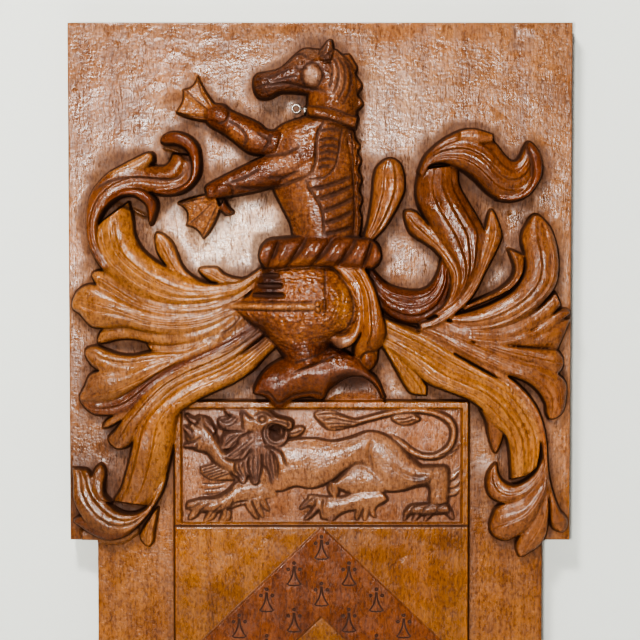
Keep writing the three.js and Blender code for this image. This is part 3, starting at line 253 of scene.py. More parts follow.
helmetForms = [
    ("gorget inside", [4, 5, 4], [], [(4, 36, 4, 42), (14, 36, 14, 56), (33, 36, 33, 65), (51, 36, 51, 61),
      (63, 36, 64, 42)]),
    ("gorget", [20, 25, 27, 27, 26, 24, 20], [], [(-66, 49), (-55, 44.5, -57, 68), (-41, 32, -43, 79),
      (-28, 40, -28, 86), (-12, 43.5, -10, 92), (2, 41, 8, 95), (10, 52, 20, 92), (26, 63, 34, 84),
      (42, 64.5, 46, 72), (55, 56, 57, 61), (62.5, 43, 65, 43)]),
    ("throat", [27, 31, 29], [], [(-52, 104, 16, 112), (-44, 94, 9, 102), (-27, 71, 4, 83)]),
    ("skull", [15, 29, 37, 40, 40, 36, 29], [], [(-90, 135), (-78, 126, -78, 141), (-66, 115.5, -66, 151),
      (-54, 105, -57, 172), (-42, 92, -44, 180), (-27, 83, -25, 182), (-10, 84, -5, 183), (6, 92, 12, 178),
      (15, 100, 26, 168), (29, 104, 36, 155), (37, 114, 39, 144)]),
    ("visor bar", [17, 32, 40, 42, 42.5, 42.5], [], [(-90, 133, -90, 137), (-40, 132.4, -40, 137.6),
      (-1, 132.2, -1, 137.8)]),
    ("link", [42.5, 43, 42.5], [], [(2.4, 130, 5.6, 130), (2.4, 142, 5.6, 142)]),
]

lionForms = [
    ("tail", [2.5, 6, 6, 6, 6], [], [(68, 1, 70, 6), (80, -6, 83, -1), (91, -14, 93, -9),
      (104, -19, 104, -13.5), (119, -18, 116, -13), (131, -10, 126, -6), (136, 2, 130, 2), (136, 14, 130, 12),
      (129, 24, 124, 19.5), (113, 30, 112, 25.5), (97, 32, 97, 27.5), (80, 31, 80, 26.5), (64, 28, 65, 23.5),
      (49, 24, 50, 19.5), (33, 20, 34, 15)]),
    ("tail tuft", [4, 7], [0.5], [(-5, 25.5), (4, 14, 3, 29.5), (14, 10.5, 13, 28.5), (36, 15, 36, 20)]),
    ("tail tuft low", [2, 4], [0.5], [(139, -4), (134, -14, 131, -7), (126, -17.5, 124, -11)]),
    ("chest tuft", [3, 5, 6], [], [(-119, -33, -119, -27), (-108, -39.5, -107, -23), (-86, -40, -94, -29)]),
    ("elbow tuft 1", [3, 5], [0.5], [(-62.5, -79), (-71, -71, -66, -69), (-76, -62, -69, -60)]),
    ("elbow tuft 2", [3, 5], [0.5], [(-57, -77.5), (-64, -69, -59.5, -67), (-68, -60, -62, -58)]),
    ("elbow tuft 3", [3, 5], [0.5], [(-51, -71), (-58, -66, -54, -63), (-62, -58, -56, -56)]),
    ("shank tuft 1", [3, 5], [0.5], [(37, -80), (35.5, -75, 40, -75), (37, -68, 43, -68)]),
    ("shank tuft 2", [3, 5], [0.5], [(45, -81), (43, -75, 48, -74), (45, -67, 51, -67)]),
    ("shank tuft 3", [3, 5], [0.5], [(55.5, -77.5), (50, -73, 54.5, -71), (52, -66, 58, -65)]),
    ("hock tuft 1", [2, 4], [0.5], [(143, -27), (135, -38, 132, -34), (127, -42, 127, -36)]),
    ("hock tuft 2", [2, 4], [0.5], [(143.5, -36), (137, -46, 134, -41.5), (127, -49, 127, -43)]),
    ("hock tuft 3", [2, 4], [0.5], [(141, -47), (137, -54, 134, -49.5), (127, -57, 127, -50)]),
    ("belly knob", [4, 7], [], [(15, -58.5), (8, -50, 19, -52), (10, -42, 17, -42)]),
    ("tail curl", [4, 6], [], [(72, 22), (78, 17, 76, 26), (86, 15.5, 86, 27), (94, 17.5, 94, 26),
      (100, 21)]),
    ("far thigh", [6, 8, 8, 6], [], [(16, -44), (31, -53.5, 32, -26), (45, -52, 44, -25), (57, -53, 55, -30),
      (66, -52, 62, -38)]),
    ("far shank", [6, 7], [], [(2, -79, -2, -57), (12, -79, 8, -57), (26, -72, 21, -57.5), (45, -69, 38, -52),
      (60, -65, 52, -50), (68, -60, 62, -52)]),
    ("far paw", [5, 7], [], [(-12, -66, -11, -55), (-3, -70, -2, -56), (6, -72, 6, -57)]),
    ("far claw 1", [3, 6], [], [(-20, -69), (-14, -67, -13, -60), (-6, -64, -6, -57)]),
    ("far claw 2", [3, 6], [], [(-15.5, -80.5), (-11, -74, -7, -76), (-6, -66, 0, -68)]),
    ("far claw 3", [3, 6], [], [(10.5, -82), (3, -74, 18, -75), (2, -66, 16, -67)]),
    ("fore claw 1", [3, 6], [0.5], [(-131, -79.5), (-129, -73, -123.5, -76), (-126, -67, -119, -70)]),
    ("fore claw 2", [3, 6], [0.5], [(-115.5, -82.5), (-113.5, -75, -107, -78.5), (-110, -68, -103, -71)]),
    ("fore claw 3", [3, 6], [0.5], [(-100.5, -83), (-99, -76, -91, -80), (-97, -68, -89, -72)]),
    ("raised leg", [6, 9, 9, 8], [], [(-134, 10, -121, 25), (-133, 0, -110, 21), (-124, -9.5, -106, 11),
      (-113, -13, -103, 3), (-104, -24, -97, -8), (-92, -32, -88, -17), (-77, -39, -74, -20)]),
    ("raised claw 1", [6, 11], [], [(-134, 25.5), (-128, 23.4, -129.5, 18.5), (-121, 21.5, -125, 15)]),
    ("raised claw 2", [6, 11], [], [(-116, 23), (-110, 19, -113.5, 14), (-104, 10, -107, 5)]),
    ("raised claw 3", [6, 11], [], [(-137, 14), (-130, 12, -133, 7), (-125, 8, -128, 2)]),
    ("raised claw 4", [5, 10], [], [(-136.5, -5.5), (-130, -2, -130.5, -7.5), (-123, -1, -124, -8)]),
    ("low foreleg", [5, 8, 9, 8, 3], [], [(-134, -68.5, -132, -62), (-118, -72, -119, -58.5),
      (-103, -72, -104, -57), (-91, -69, -93, -51), (-80, -65, -80, -41), (-43, -56, -48, -36)]),
    ("trunk body", [8, 11, 11, 10, 11, 12], [], [(-60, -44, -56, -14), (-41, -51, -38, -3),
      (-25, -46, -22, 1), (-8, -48, -5, 1.5), (10, -41.5, 12, -1), (27, -29, 30, 2.5), (42, -24, 48, 8.5),
      (54, -36, 64, 5.5), (66, -50.5, 78, -4), (82, -50.5, 90, -16), (96, -46.5, 102, -26),
      (108, -45, 113, -27)]),
    ("hind leg", [11, 10, 9], [], [(95, -46, 101, -26), (107, -45, 116, -25.5), (110, -52, 128, -28),
      (109.5, -58, 129, -45), (110, -65, 128, -63)]),
    ("hind paw", [6, 9, 8], [], [(84, -76, 85, -72), (91, -74, 91, -65.5), (104, -75, 103, -64),
      (118, -74, 118, -63.5), (129, -73, 128, -64.5)]),
    ("hind claw 1", [3, 7], [0.5], [(84, -80.5), (85.5, -74, 89.5, -75), (89, -68, 95, -69)]),
    ("hind claw 2", [3, 7], [0.5], [(93, -82.5), (95, -75, 99.5, -76.5), (99, -68, 104.5, -69)]),
    ("hind claw 3", [3, 7], [0.5], [(105, -81.5), (107, -74, 112, -75), (111, -68, 117, -69)]),
    ("hind claw 4", [3, 7], [0.5], [(133.5, -79.5), (126, -74, 131.5, -70), (119, -68, 126, -64)]),
    ("mane back", [8, 11, 11], [0.3, 0.6], [(-84, -24, -62, -43), (-84, -8, -38, -35), (-88, 6, -33, -12),
      (-86, 20, -40, 4), (-82, 31, -52, 12)]),
    ("mane lock 1", [7, 12], [0.5], [(-97, -17.5), (-86, -21, -91, -11), (-74, -17, -82, -2),
      (-62, -6, -68, 6)]),
    ("mane lock 2", [8, 12], [0.5], [(-77, -43), (-85, -31, -71, -33), (-83, -19, -69, -19),
      (-76, -8, -64, -7)]),
    ("mane lock 3", [9, 13], [0.5], [(-65, -44), (-71, -32, -56, -32), (-67, -5, -58, -5)]),
    ("mane lock 4", [9, 13], [0.5], [(-49, -42), (-57, -28, -42, -30), (-59, -3, -50, -3)]),
    ("mane lock 5", [6, 10], [0.5], [(-101, 21), (-99, 11, -88, 24), (-88, 8, -78, 27), (-74, 8, -68, 26)]),
    ("mane lock 6", [6, 10], [], [(-95, 31), (-88, 22, -84, 31), (-76, 18, -74, 31)]),
    ("mane lock 7", [6, 10], [0.5], [(-97, -8), (-98, 3, -86, -8), (-90, 9, -79, 0), (-78, 12, -68, 5)]),
    ("skull head", [10, 14, 15, 12], [], [(-79, 8, -80, 31), (-66, 4, -66, 31.5), (-54, 10, -52, 29.5),
      (-44, 16, -43, 24), (-33, 11, -31, 21), (-28, 12, -27, 18)]),
    ("jaw", [8, 11, 9], [], [(-60, 4, -52, 13), (-53, -4, -49, 5), (-43, -6, -44, 1), (-35, -3, -38, 3),
      (-30, 8, -35, 10)]),
    ("tongue", [5, 6], [], [(-16, 11), (-22, 4, -20, 14), (-33, 2, -32, 10)]),
]

# the map: one number for every half millimetre of the panel
mapCell = 0.5
mapColumns = int(round(2 * halfWidth / mapCell)) + 1
mapRows = int(round((panelTop - panelBottom) / mapCell)) + 1
mapX = -halfWidth + mapCell * np.arange(mapColumns)
mapZ = panelBottom + mapCell * np.arange(mapRows)
noForm = -1000.0


def newMap(value):
    return np.full((mapRows, mapColumns), float(value), dtype=np.float32)


def toX(gridX):
    return np.asarray(gridX, float) * gridStep


def toZ(gridZ):
    return np.asarray(gridZ, float) * gridStep - middle


def window(xs, zs, margin):
    # the slice of the map round some points, in millimetres
    c0 = max(0, int((np.min(xs) - margin + halfWidth) / mapCell))
    c1 = min(mapColumns, int((np.max(xs) + margin + halfWidth) / mapCell) + 2)
    r0 = max(0, int((np.min(zs) - margin - panelBottom) / mapCell))
    r1 = min(mapRows, int((np.max(zs) + margin - panelBottom) / mapCell) + 2)
    return slice(r0, r1), slice(c0, c1)


def smooth(values, radius):
    # three running means, which come close to a bell-shaped blur
    n = max(1, int(round(radius / mapCell)))
    out = values.astype(np.float64)
    for axis in (0, 1):
        for _ in range(3):
            padded = np.pad(out, [(n + 1, n) if a == axis else (0, 0) for a in (0, 1)], mode="edge")
            total = np.cumsum(padded, axis=axis)
            high = np.take(total, range(2 * n + 1, total.shape[axis]), axis=axis)
            low = np.take(total, range(0, total.shape[axis] - 2 * n - 1), axis=axis)
            out = (high - low) / (2 * n + 1)
    return out.astype(np.float32)


def spline(points, count):
    pts = np.array(points, float)
    ends = np.vstack([2 * pts[0] - pts[1], pts, 2 * pts[-1] - pts[-2]])
    t = np.linspace(0, len(pts) - 1, count)
    i = np.minimum(t.astype(int), len(pts) - 2)
    f = (t - i)[:, None]
    a, b, c, d = ends[i], ends[i + 1], ends[i + 2], ends[i + 3]
    return 0.5 * (2 * b + (c - a) * f + (2 * a - 5 * b + 4 * c - d) * f**2 + (3 * b - a - 3 * c + d) * f**3)


def formEdges(stations, count):
    first = [s[:2] for s in stations]
    second = [s[-2:] for s in stations]
    if len(stations[0]) == 2:
        around = spline(first[::-1] + second[1:], 2 * count - 1)
        return around[:count][::-1], around[count - 1:]
    if len(stations[-1]) == 2:
        around = spline(first + second[::-1][1:], 2 * count - 1)
        return around[:count], around[count - 1:][::-1]
    return spline(first, count), spline(second, count)


def wander(seed, size, shape):
    # smooth random values from -1 to 1 over a small grid, stretched to shape
    rough = np.random.default_rng(seed).uniform(-1, 1, size)
    rows = np.linspace(0, size[0] - 1, shape[0])
    columns = np.linspace(0, size[1] - 1, shape[1])
    r = np.minimum(rows.astype(int), size[0] - 2)
    c = np.minimum(columns.astype(int), size[1] - 2)
    fr = (rows - r)[:, None]
    fc = (columns - c)[None, :]
    fr = fr * fr * (3 - 2 * fr)
    fc = fc * fc * (3 - 2 * fc)
    top = rough[r][:, c] * (1 - fc) + rough[r][:, c + 1] * fc
    low = rough[r + 1][:, c] * (1 - fc) + rough[r + 1][:, c + 1] * fc
    return top * (1 - fr) + low * fr


# the cuts of the gouge along a form, in millimetres unless it says share
gouge = {
    "tipShare": 0.18,  # cuts fade out over this share of the form at its tip
    "tipLeastShare": 0.25,
    "widthShare": 0.16,  # the deepest cut for the form's width
    "oneWayShare": 0.8,  # cuts whose high lip is on the usual side
    "slopePower": 1.7,
    "cliff": 1.1,
    "lipAway": 2.2,
    "lipWidth": 1.5,
    "lineWidth": 0.9,
    "lineShare": 0.55,
    "flatLength": 26,
}


def formPatch(form, style, seed):
    # heights of one form on its own window of the map, in millimetres above the board
    _, rises, grooves, stations = form
    rough = formEdges(stations, 200)
    length = max(np.hypot(*np.diff(e * gridStep, axis=0).T).sum() for e in rough)
    width = np.hypot(*((rough[0] - rough[1]) * gridStep).T).max()
    count = max(60, int(length / (0.42 * mapCell)))
    across = max(12, int(width / (0.5 * mapCell)))
    a, b = formEdges(stations, count)
    v = np.linspace(0, 1, across)[None, :]
    t = np.linspace(0, 1, count)
    rise = np.interp(t, np.linspace(0, 1, len(rises)), rises) * style["scale"]
    wide = np.maximum(np.hypot(*((a - b) * gridStep).T), 1.0)[:, None]
    crown = np.minimum(style["crown"] * wide, style["crownMost"] * rise[:, None])
    heights = style["base"] + rise[:, None] - crown * np.abs(2 * v - 1) ** style["square"]
    random = np.random.default_rng(seed)
    fade = np.clip(t / gouge["tipShare"], gouge["tipLeastShare"], 1)[:, None]
    fade = fade * (1 + 0.25 * wander(seed + 7, (5, 2), (count, 1)))
    stops = [0.0] + sorted(grooves) + [1.0]
    for i, place in enumerate(stops[1:-1], start=1):
        # each cut has a crisp high lip on one side and a long hollow slope on the other
        side = style["highSide"] * (1 if random.uniform() < gouge["oneWayShare"] else -1)
        bay = (stops[i + 1] - place) if side > 0 else (place - stops[i - 1])
        away = (v - place) * wide * side
        reach = np.maximum(bay * wide, 1.0)
        depth = np.minimum(style["grooveDepth"], gouge["widthShare"] * wide) * fade
        slope = np.clip(1 - away / reach, 0, 1) ** gouge["slopePower"]
        cliff = np.clip(1 + away / gouge["cliff"], 0, 1) ** 2
        lip = np.exp(-(((away + gouge["lipAway"]) / gouge["lipWidth"]) ** 2))
        heights -= depth * (np.where(away >= 0, slope, cliff) - style["lip"] * lip)
        heights -= gouge["lineShare"] * depth * np.exp(-((away / gouge["lineWidth"]) ** 2))
    # long flat cuts of the gouge, which wander a little along the form
    cuts = max(3, int(width / style["cutWidth"]) + 1)
    rounds = max(3, int(length / gouge["flatLength"]))
    heights += style["cutDepth"] * wander(seed, (rounds, cuts), heights.shape)
    x = toX(a[:, 0])[:, None] * (1 - v) + toX(b[:, 0])[:, None] * v
    z = toZ(a[:, 1])[:, None] * (1 - v) + toZ(b[:, 1])[:, None] * v
    rows, columns = window(x, z, 0)
    shape = (rows.stop - rows.start, columns.stop - columns.start)
    r = np.rint((z - panelBottom) / mapCell).astype(int) - rows.start
    c = np.rint((x + halfWidth) / mapCell).astype(int) - columns.start
    inside = (r >= 0) & (r < shape[0]) & (c >= 0) & (c < shape[1])
    place = (r * shape[1] + c)[inside]
    value = heights[inside]
    order = np.argsort(value, kind="stable")  # the highest is written last
    patch = np.full(shape[0] * shape[1], noForm, dtype=np.float32)
    patch[place[order]] = value[order]
    return rows, columns, patch.reshape(shape)


def layForms(forms, style, groupMap, blend, seedStart, colour, otherColours=()):
    # raises the forms over one another; blend is how softly limbs run into the body, in millimetres
    named = {form: other for other, names in dict(otherColours).items() for form in names}
    for number, form in enumerate(forms):
        rows, columns, patch = formPatch(form, style, seedStart + number)
        under = groupMap[rows, columns]
        there = patch > noForm / 2
        higher = there & (patch > under)
        tintWhere(higher, named.get(form[0], colour), (rows, columns))
        joined = np.maximum(under, patch)
        if blend > 0:
            both = there & (under > noForm / 2)
            close = np.clip(blend - np.abs(under - patch), 0, None)
            joined = np.where(both, joined + close * close / (4 * blend), joined)
        groupMap[rows, columns] = joined


def lineDistance(points, margin):
    # window of the map round a line and the distance of every cell from it, in millimetres
    path = spline(points, 12 * len(points)) if len(points) > 2 else np.array(points, float)
    px, pz = toX(path[:, 0]), toZ(path[:, 1])
    rows, columns = window(px, pz, margin)
    gx, gz = np.meshgrid(mapX[columns], mapZ[rows])
    best = np.full(gx.shape, 1e9)
    run = np.zeros(gx.shape)
    lengths = np.hypot(np.diff(px), np.diff(pz))
    done = 0.0
    for i in range(len(px) - 1):
        dx, dz = px[i + 1] - px[i], pz[i + 1] - pz[i]
        s = np.clip(((gx - px[i]) * dx + (gz - pz[i]) * dz) / max(dx * dx + dz * dz, 1e-9), 0, 1)
        d = np.hypot(gx - px[i] - s * dx, gz - pz[i] - s * dz)
        nearer = d < best
        best[nearer] = d[nearer]
        run[nearer] = (done + s * lengths[i])[nearer]
        done += lengths[i]
    return rows, columns, best, run / max(done, 1e-9)


# darkening kept for the colour: dirt, and painted shade
def addDirtAndShade(rows, columns, grimeAndShade):
    dirtAndShadeMap[rows, columns] = np.maximum(dirtAndShadeMap[rows, columns], grimeAndShade)


lineDirtAndShade = 0.85  # dirt and painted shade in a cut line


def carve(target, points, width, depth, taper=True, dirtAndShade=lineDirtAndShade):
    # cuts a v-groove along a line, or raises a bead where the depth is negative; sizes in millimetres
    rows, columns, distance, run = lineDistance(points, width + 1)
    share = np.clip(1 - distance / width, 0, 1)
    cut = depth * share * share * (3 - 2 * share)
    if taper:
        cut *= np.clip(np.minimum(run, 1 - run) * 6 + 0.15, 0, 1)
    target[rows, columns] -= cut.astype(np.float32)
    # a cut is painted darker, as dirt and as painted shade in it
    if depth > 0:
        dark = dirtAndShade * np.clip(1.7 * np.sqrt(np.clip(cut / depth, 0, 1)), 0, 1)
        addDirtAndShade(rows, columns, dark)


def dome(target, gridX, gridZ, radiusX, radiusZ, height):
    # an oval knob, or a hollow where the height is negative; radii in grid steps, height in millimetres
    x, z = float(toX(gridX)), float(toZ(gridZ))
    rx, rz = radiusX * gridStep, radiusZ * gridStep
    reach = max(rx, rz)
    rows, columns = window([x], [z], reach + 1)
    gx, gz = np.meshgrid(mapX[columns] - x, mapZ[rows] - z)
    u, w = gx / rx, gz / rz
    target[rows, columns] += (height * np.sqrt(np.clip(1 - u * u - w * w, 0, 1))).astype(np.float32)


def insideOutline(points, rows, columns):
    # cells of a window inside a closed outline given in millimetres
    gx, gz = np.meshgrid(mapX[columns], mapZ[rows])
    hit = np.zeros(gx.shape, bool)
    for (xa, za), (xb, zb) in zip(points, points[1:] + points[:1]):
        if za == zb:
            continue
        crosses = (gz < max(za, zb)) & (gz >= min(za, zb))
        hit ^= crosses & (gx < xa + (gz - za) * (xb - xa) / (zb - za))
    return hit


# colours of waxed oak, as light values
oakColours = {
    "ground": (0.27, 0.122, 0.05),
    "strip": (0.25, 0.097, 0.024),
    "leaf": (0.265, 0.112, 0.034),
    "leafRight": (0.22, 0.084, 0.027),
    # a darker copy of the leaf colour for the leaves' undersides and rolled rims: painted shade
    "leafInShade": (0.12, 0.03, 0.005),
    "scroll": (0.155, 0.049, 0.01),
    "fall": (0.295, 0.122, 0.03),
    "horse": (0.19, 0.068, 0.022),
    "head": (0.1, 0.032, 0.01),
    "arm": (0.13, 0.038, 0.01),
    "foot": (0.25, 0.09, 0.02),
    "torse": (0.155, 0.05, 0.018),
    "helmet": (0.25, 0.087, 0.02),
    "bar": (0.36, 0.17, 0.07),
    "gorget": (0.16, 0.045, 0.008),
    "hood": (0.25, 0.085, 0.016),
    "shield": (0.215, 0.079, 0.011),
    "chief": (0.24, 0.1, 0.042),
    "lion": (0.25, 0.112, 0.048),
    "mane": (0.19, 0.094, 0.06),
    "chevron": (0.15, 0.041, 0.006),
}
heightMap = newMap(0)
dirtAndShadeMap = newMap(0)  # dirt and old wax in the cut lines, and painted shade in cuts, slots and hollows and on steep slopes
tintMaps = [newMap(value) for value in oakColours["ground"]]
wholeMap = (slice(None), slice(None))


def tintWhere(mask, colour, place=wholeMap):
    # gives the cells of a mask one of the oak colours, on the whole map or in one window of it
    for channel in range(3):
        tintMaps[channel][place][mask] = oakColours[colour][channel]


# lower board: its two side strips are more golden than the ground above
print("board and shield")
stripTop = -40  # grid steps
gx, gz = np.meshgrid(mapX, mapZ)
tintWhere(gz < toZ(stripTop), "strip")

shield = {
    "width": 354.0,
    "height": 496.6,
    "rise": 11.0,
    "corner": 62.0,
    "point": 40.0,
    "middle": 1.5,  # grid steps
    "top": 39.2,  # grid steps
    "chiefHeight": 149.6,
    "chiefSink": 5.0,
    "chiefSideRim": 9.0,
    "chiefTopRim": 9.0,
    "chiefFloorRim": 2.5,
    "cornerSteps": 12,
}
shieldX = shield["middle"] * gridStep
shieldTop = float(toZ(shield["top"]))
shieldLeft, shieldRight = shieldX - shield["width"] / 2, shieldX + shield["width"] / 2
shieldBottom = shieldTop - shield["height"]
chiefBottom = shieldTop - shield["chiefHeight"]


def shieldOutline():
    half = [(shieldLeft, shieldTop)]
    steps = shield["cornerSteps"]
    for i in range(steps + 1):
        angle = math.pi / 2 * i / steps
        half.append((
            shieldLeft + shield["corner"] * (1 - math.cos(angle)),
            shieldBottom + shield["point"] + shield["corner"] * (1 - math.sin(angle)),
        ))
    for i in range(1, steps):
        share = i / steps
        start = shieldLeft + shield["corner"]
        half.append((start + (shieldX - start) * share, shieldBottom + shield["point"] * (1 - share**2)))
    return half + [(shieldX, shieldBottom)] + [(2 * shieldX - x, z) for x, z in half[::-1]]


shieldWindow = window([shieldLeft, shieldRight], [shieldBottom, shieldTop], 2)
onShield = insideOutline(shieldOutline(), *shieldWindow)
heightMap[shieldWindow][onShield] = shield["rise"]
tintWhere(onShield, "shield", shieldWindow)


def rectangleMask(x0, x1, z0, z1):
    return ((mapZ >= z0) & (mapZ <= z1))[:, None] & ((mapX >= x0) & (mapX <= x1))[None, :]


chiefMask = rectangleMask(
    shieldLeft + shield["chiefSideRim"], shieldRight - shield["chiefSideRim"],
    chiefBottom + shield["chiefFloorRim"], shieldTop - shield["chiefTopRim"],
)
heightMap[chiefMask] = shield["rise"] - shield["chiefSink"]
tintWhere(chiefMask, "chief")

# chevron: a low band with a cut line outside it, and two rows of ermine spots along each arm
chevron = {
    "band": 79.0,
    "rise": 1.2,
    "slope": 0.96,
    "lineWidth": 1.6,
    "lineDepth": 1.1,
    "pitch": 33.0,
    "rows": (12.6, 69.0),
    "onArm": 4,
}
apexX, apexZ = shieldX, chiefBottom - 1
drop = apexZ - chevron["slope"] * np.abs(gx - apexX) - gz
aslant = math.hypot(1, chevron["slope"])
bandDrop = chevron["band"] * aslant
shieldMask = np.zeros(heightMap.shape, bool)
shieldMask[shieldWindow] = onShield
onBand = shieldMask & (drop > 0) & (drop < bandDrop) & (gz < chiefBottom)
heightMap[onBand] += chevron["rise"]
tintWhere(onBand, "chevron")
for edge in (0.0, bandDrop):
    share = np.clip(1 - np.abs(drop - edge) / aslant / chevron["lineWidth"], 0, 1)
    share = np.where(shieldMask & (gz < chiefBottom - 0.5), share, 0)
    heightMap -= (chevron["lineDepth"] * share * share).astype(np.float32)
    dirtAndShadeMap = np.maximum(dirtAndShadeMap, (lineDirtAndShade * share * share).astype(np.float32))

ermine = {
    "stem": 0.8,
    "stemTop": 4.5,
    "foot": 10.0,
    "flare": 2.4,  # how late the stem widens
    "hem": 2.2,
    "hemWave": 0.5,
    "tall": 27.5,
    "dot": 2.3,
    "dotAside": 7.0,
    "dotDrop": 7.6,
    "rim": 1.5,
    "inside": 1.5,  # the dark outlines keep this far from the band's edges
    "floor": 0.12,  # the foot's inside, as a share of the cut's depth
    "depth": 0.3,
    "grimeAndShade": 0.3,
}


def ermineSpot(x, z):
    # a dot with one at each side of it, over a stem that flares into a foot with three points
    rows, columns = window([x], [z - ermine["tall"] / 2], ermine["tall"] / 2 + 4)
    sx, sz = np.meshgrid(mapX[columns] - x, z - mapZ[rows])
    cut = np.zeros(sx.shape)
    for side in (0, -1, 1):
        d = np.hypot(sx - side * ermine["dotAside"], sz - abs(side) * ermine["dotDrop"])
        cut = np.maximum(cut, np.clip(1.4 * (1 - d / ermine["dot"]), 0, 1))
    start, end = ermine["stemTop"], ermine["tall"]
    along = (sz - start) / (end - start)
    half = ermine["stem"] + (ermine["foot"] - ermine["stem"]) * np.clip(along, 0, 1) ** ermine["flare"]
    waves = 1 + ermine["hemWave"] * np.cos(sx / ermine["foot"] * 2 * math.pi)
    hem = end - ermine["hem"] * np.abs(sx) / ermine["foot"] * waves
    body = (sz > start) & (sz < hem) & (np.abs(sx) < half)
    rim = np.clip(1 - np.minimum(np.abs(half - np.abs(sx)), np.abs(hem - sz)) / ermine["rim"], 0, 1)
    foot = np.where(body, ermine["floor"] + (1 - ermine["floor"]) * rim, 0)
    cut = np.where(onBand[rows, columns], np.maximum(cut, foot), 0)
    heightMap[rows, columns] -= (ermine["depth"] * cut).astype(np.float32)
    # the cut spots are painted darker, as dirt and as painted shade
    addDirtAndShade(rows, columns, ermine["grimeAndShade"] * np.clip((cut - 0.1) / 0.3, 0, 1))


for rowDrop in chevron["rows"]:
    for i in range(-chevron["onArm"], chevron["onArm"] + 1):
        run = i * chevron["pitch"]
        ermineSpot(apexX + run, apexZ - abs(run) * chevron["slope"] - rowDrop)

# mantling
print("mantling")
leafStyle = {
    "crown": 0.2, "crownMost": 0.42, "square": 2.4, "grooveDepth": 2.6, "lip": 0.3, "highSide": 1,
    "base": 0.0, "scale": reliefStep, "cutWidth": 4.5, "cutDepth": 0.45,
}
leafColours = {
    # undersides and rolled rims get the painted-shade copy of the leaf colour
    "leafInShade": ("lobe underside", "scroll fold", "scroll rim", "curl tip", "wave rim", "under curl"),
    "fall": ("fall", "long strand", "broad strand", "left tail", "inner strand"),
    "scroll": ("scroll", "wave", "trunk"),
    "hood": ("hood", "hood curl", "hood hook"),
}
leafMap = newMap(0)
layForms(leftMantling, leafStyle, leafMap, 0, 100, "leaf", leafColours)
layForms(rightMantling, leafStyle, leafMap, 0, 300, "leafRight", leafColours)
heightMap = np.where(leafMap > heightMap, leafMap, heightMap)

# sea-horse, torse and helmet
print("crest and helmet")
farFoot = {
    "tips": [(-121.7, 363.3), (-136.1, 348.9), (-142.8, 326.7)],
    "hollows": [(-122.5, 350), (-132.5, 339)],  # the web is cut back between the toes
    "sides": [(-114, 344), (-102, 332), (-108, 318), (-128, 318)],
    "wrist": (-104, 325),
}
nearFoot = {
    "tips": [(-141.7, 236.7), (-132.8, 214.4), (-116.1, 201.1)],
    "hollows": [(-126.5, 230.5), (-121, 214)],
    "sides": [(-128, 243), (-106, 246), (-99, 232), (-105, 213)],
    "wrist": (-101, 240),
}
web = {  # millimetres
    "atWrist": 19.5,
    "fall": 0.155,  # for each millimetre away from the wrist
    "toe": 2.4,
    "toeWidth": 1.5,
    "toeSpread": 0.03,
    "sink": 1.6,
    "sinkLength": 40,
}


def webFoot(groupMap, foot):
    # a webbed foot: toes as low ridges that run out to points, with a hollow web between them
    a, b, c = foot["tips"]

    def bend(p, q, r):
        return [tuple((1 - t) ** 2 * p[k] + 2 * t * (1 - t) * q[k] + t * t * r[k] for k in (0, 1))
                for t in np.linspace(0, 1, 9)[:-1]]

    upper, shoulder, armpit, lower = foot["sides"]
    points = bend(a, foot["hollows"][0], b) + bend(b, foot["hollows"][1], c)
    points += bend(c, lower, armpit) + bend(armpit, foot["wrist"], shoulder) + bend(shoulder, upper, a)
    outline = [(float(toX(x)), float(toZ(z))) for x, z in points]
    rows, columns = window([p[0] for p in outline], [p[1] for p in outline], 1)
    inside = insideOutline(outline, rows, columns)
    gx, gz = np.meshgrid(mapX[columns], mapZ[rows])
    wx, wz = float(toX(foot["wrist"][0])), float(toZ(foot["wrist"][1]))
    away = np.hypot(gx - wx, gz - wz)
    height = web["atWrist"] - web["fall"] * away
    for x, z in foot["tips"]:
        tx, tz = float(toX(x)), float(toZ(z))
        length = math.hypot(tx - wx, tz - wz)
        side = np.abs((gx - wx) * (tz - wz) - (gz - wz) * (tx - wx)) / length
        height += web["toe"] * np.exp(-((side / (web["toeWidth"] + web["toeSpread"] * away)) ** 2))
    height -= web["sink"] * np.clip(away / web["sinkLength"], 0, 1)
    part = groupMap[rows, columns]
    groupMap[rows, columns] = np.where(inside, np.maximum(part, height), part)
    tintWhere(inside & (height >= part), "foot", (rows, columns))


torse = {
    "halfLength": 60.5,
    "middleZ": 189.0,
    "droop": 0.0011,
    "halfHeight": 15.2,
    "low": 22.0,
    "high": 38.5,
    "endRound": 13.0,
    "foldRibs": 0.5,
    "ribCount": 2.5,
    "pillow": 0.22,  # how much of the height each fold's roundness takes
    "cutWidth": 3.2,
    "cutDepth": 2.6,
    "cuts": [
        (-47.5, 182, -41, 199), (-30, 178, -14, 202), (-5.5, 178, 12, 202), (20, 178, 35, 202),
        (43.5, 176, 51, 198)],
}


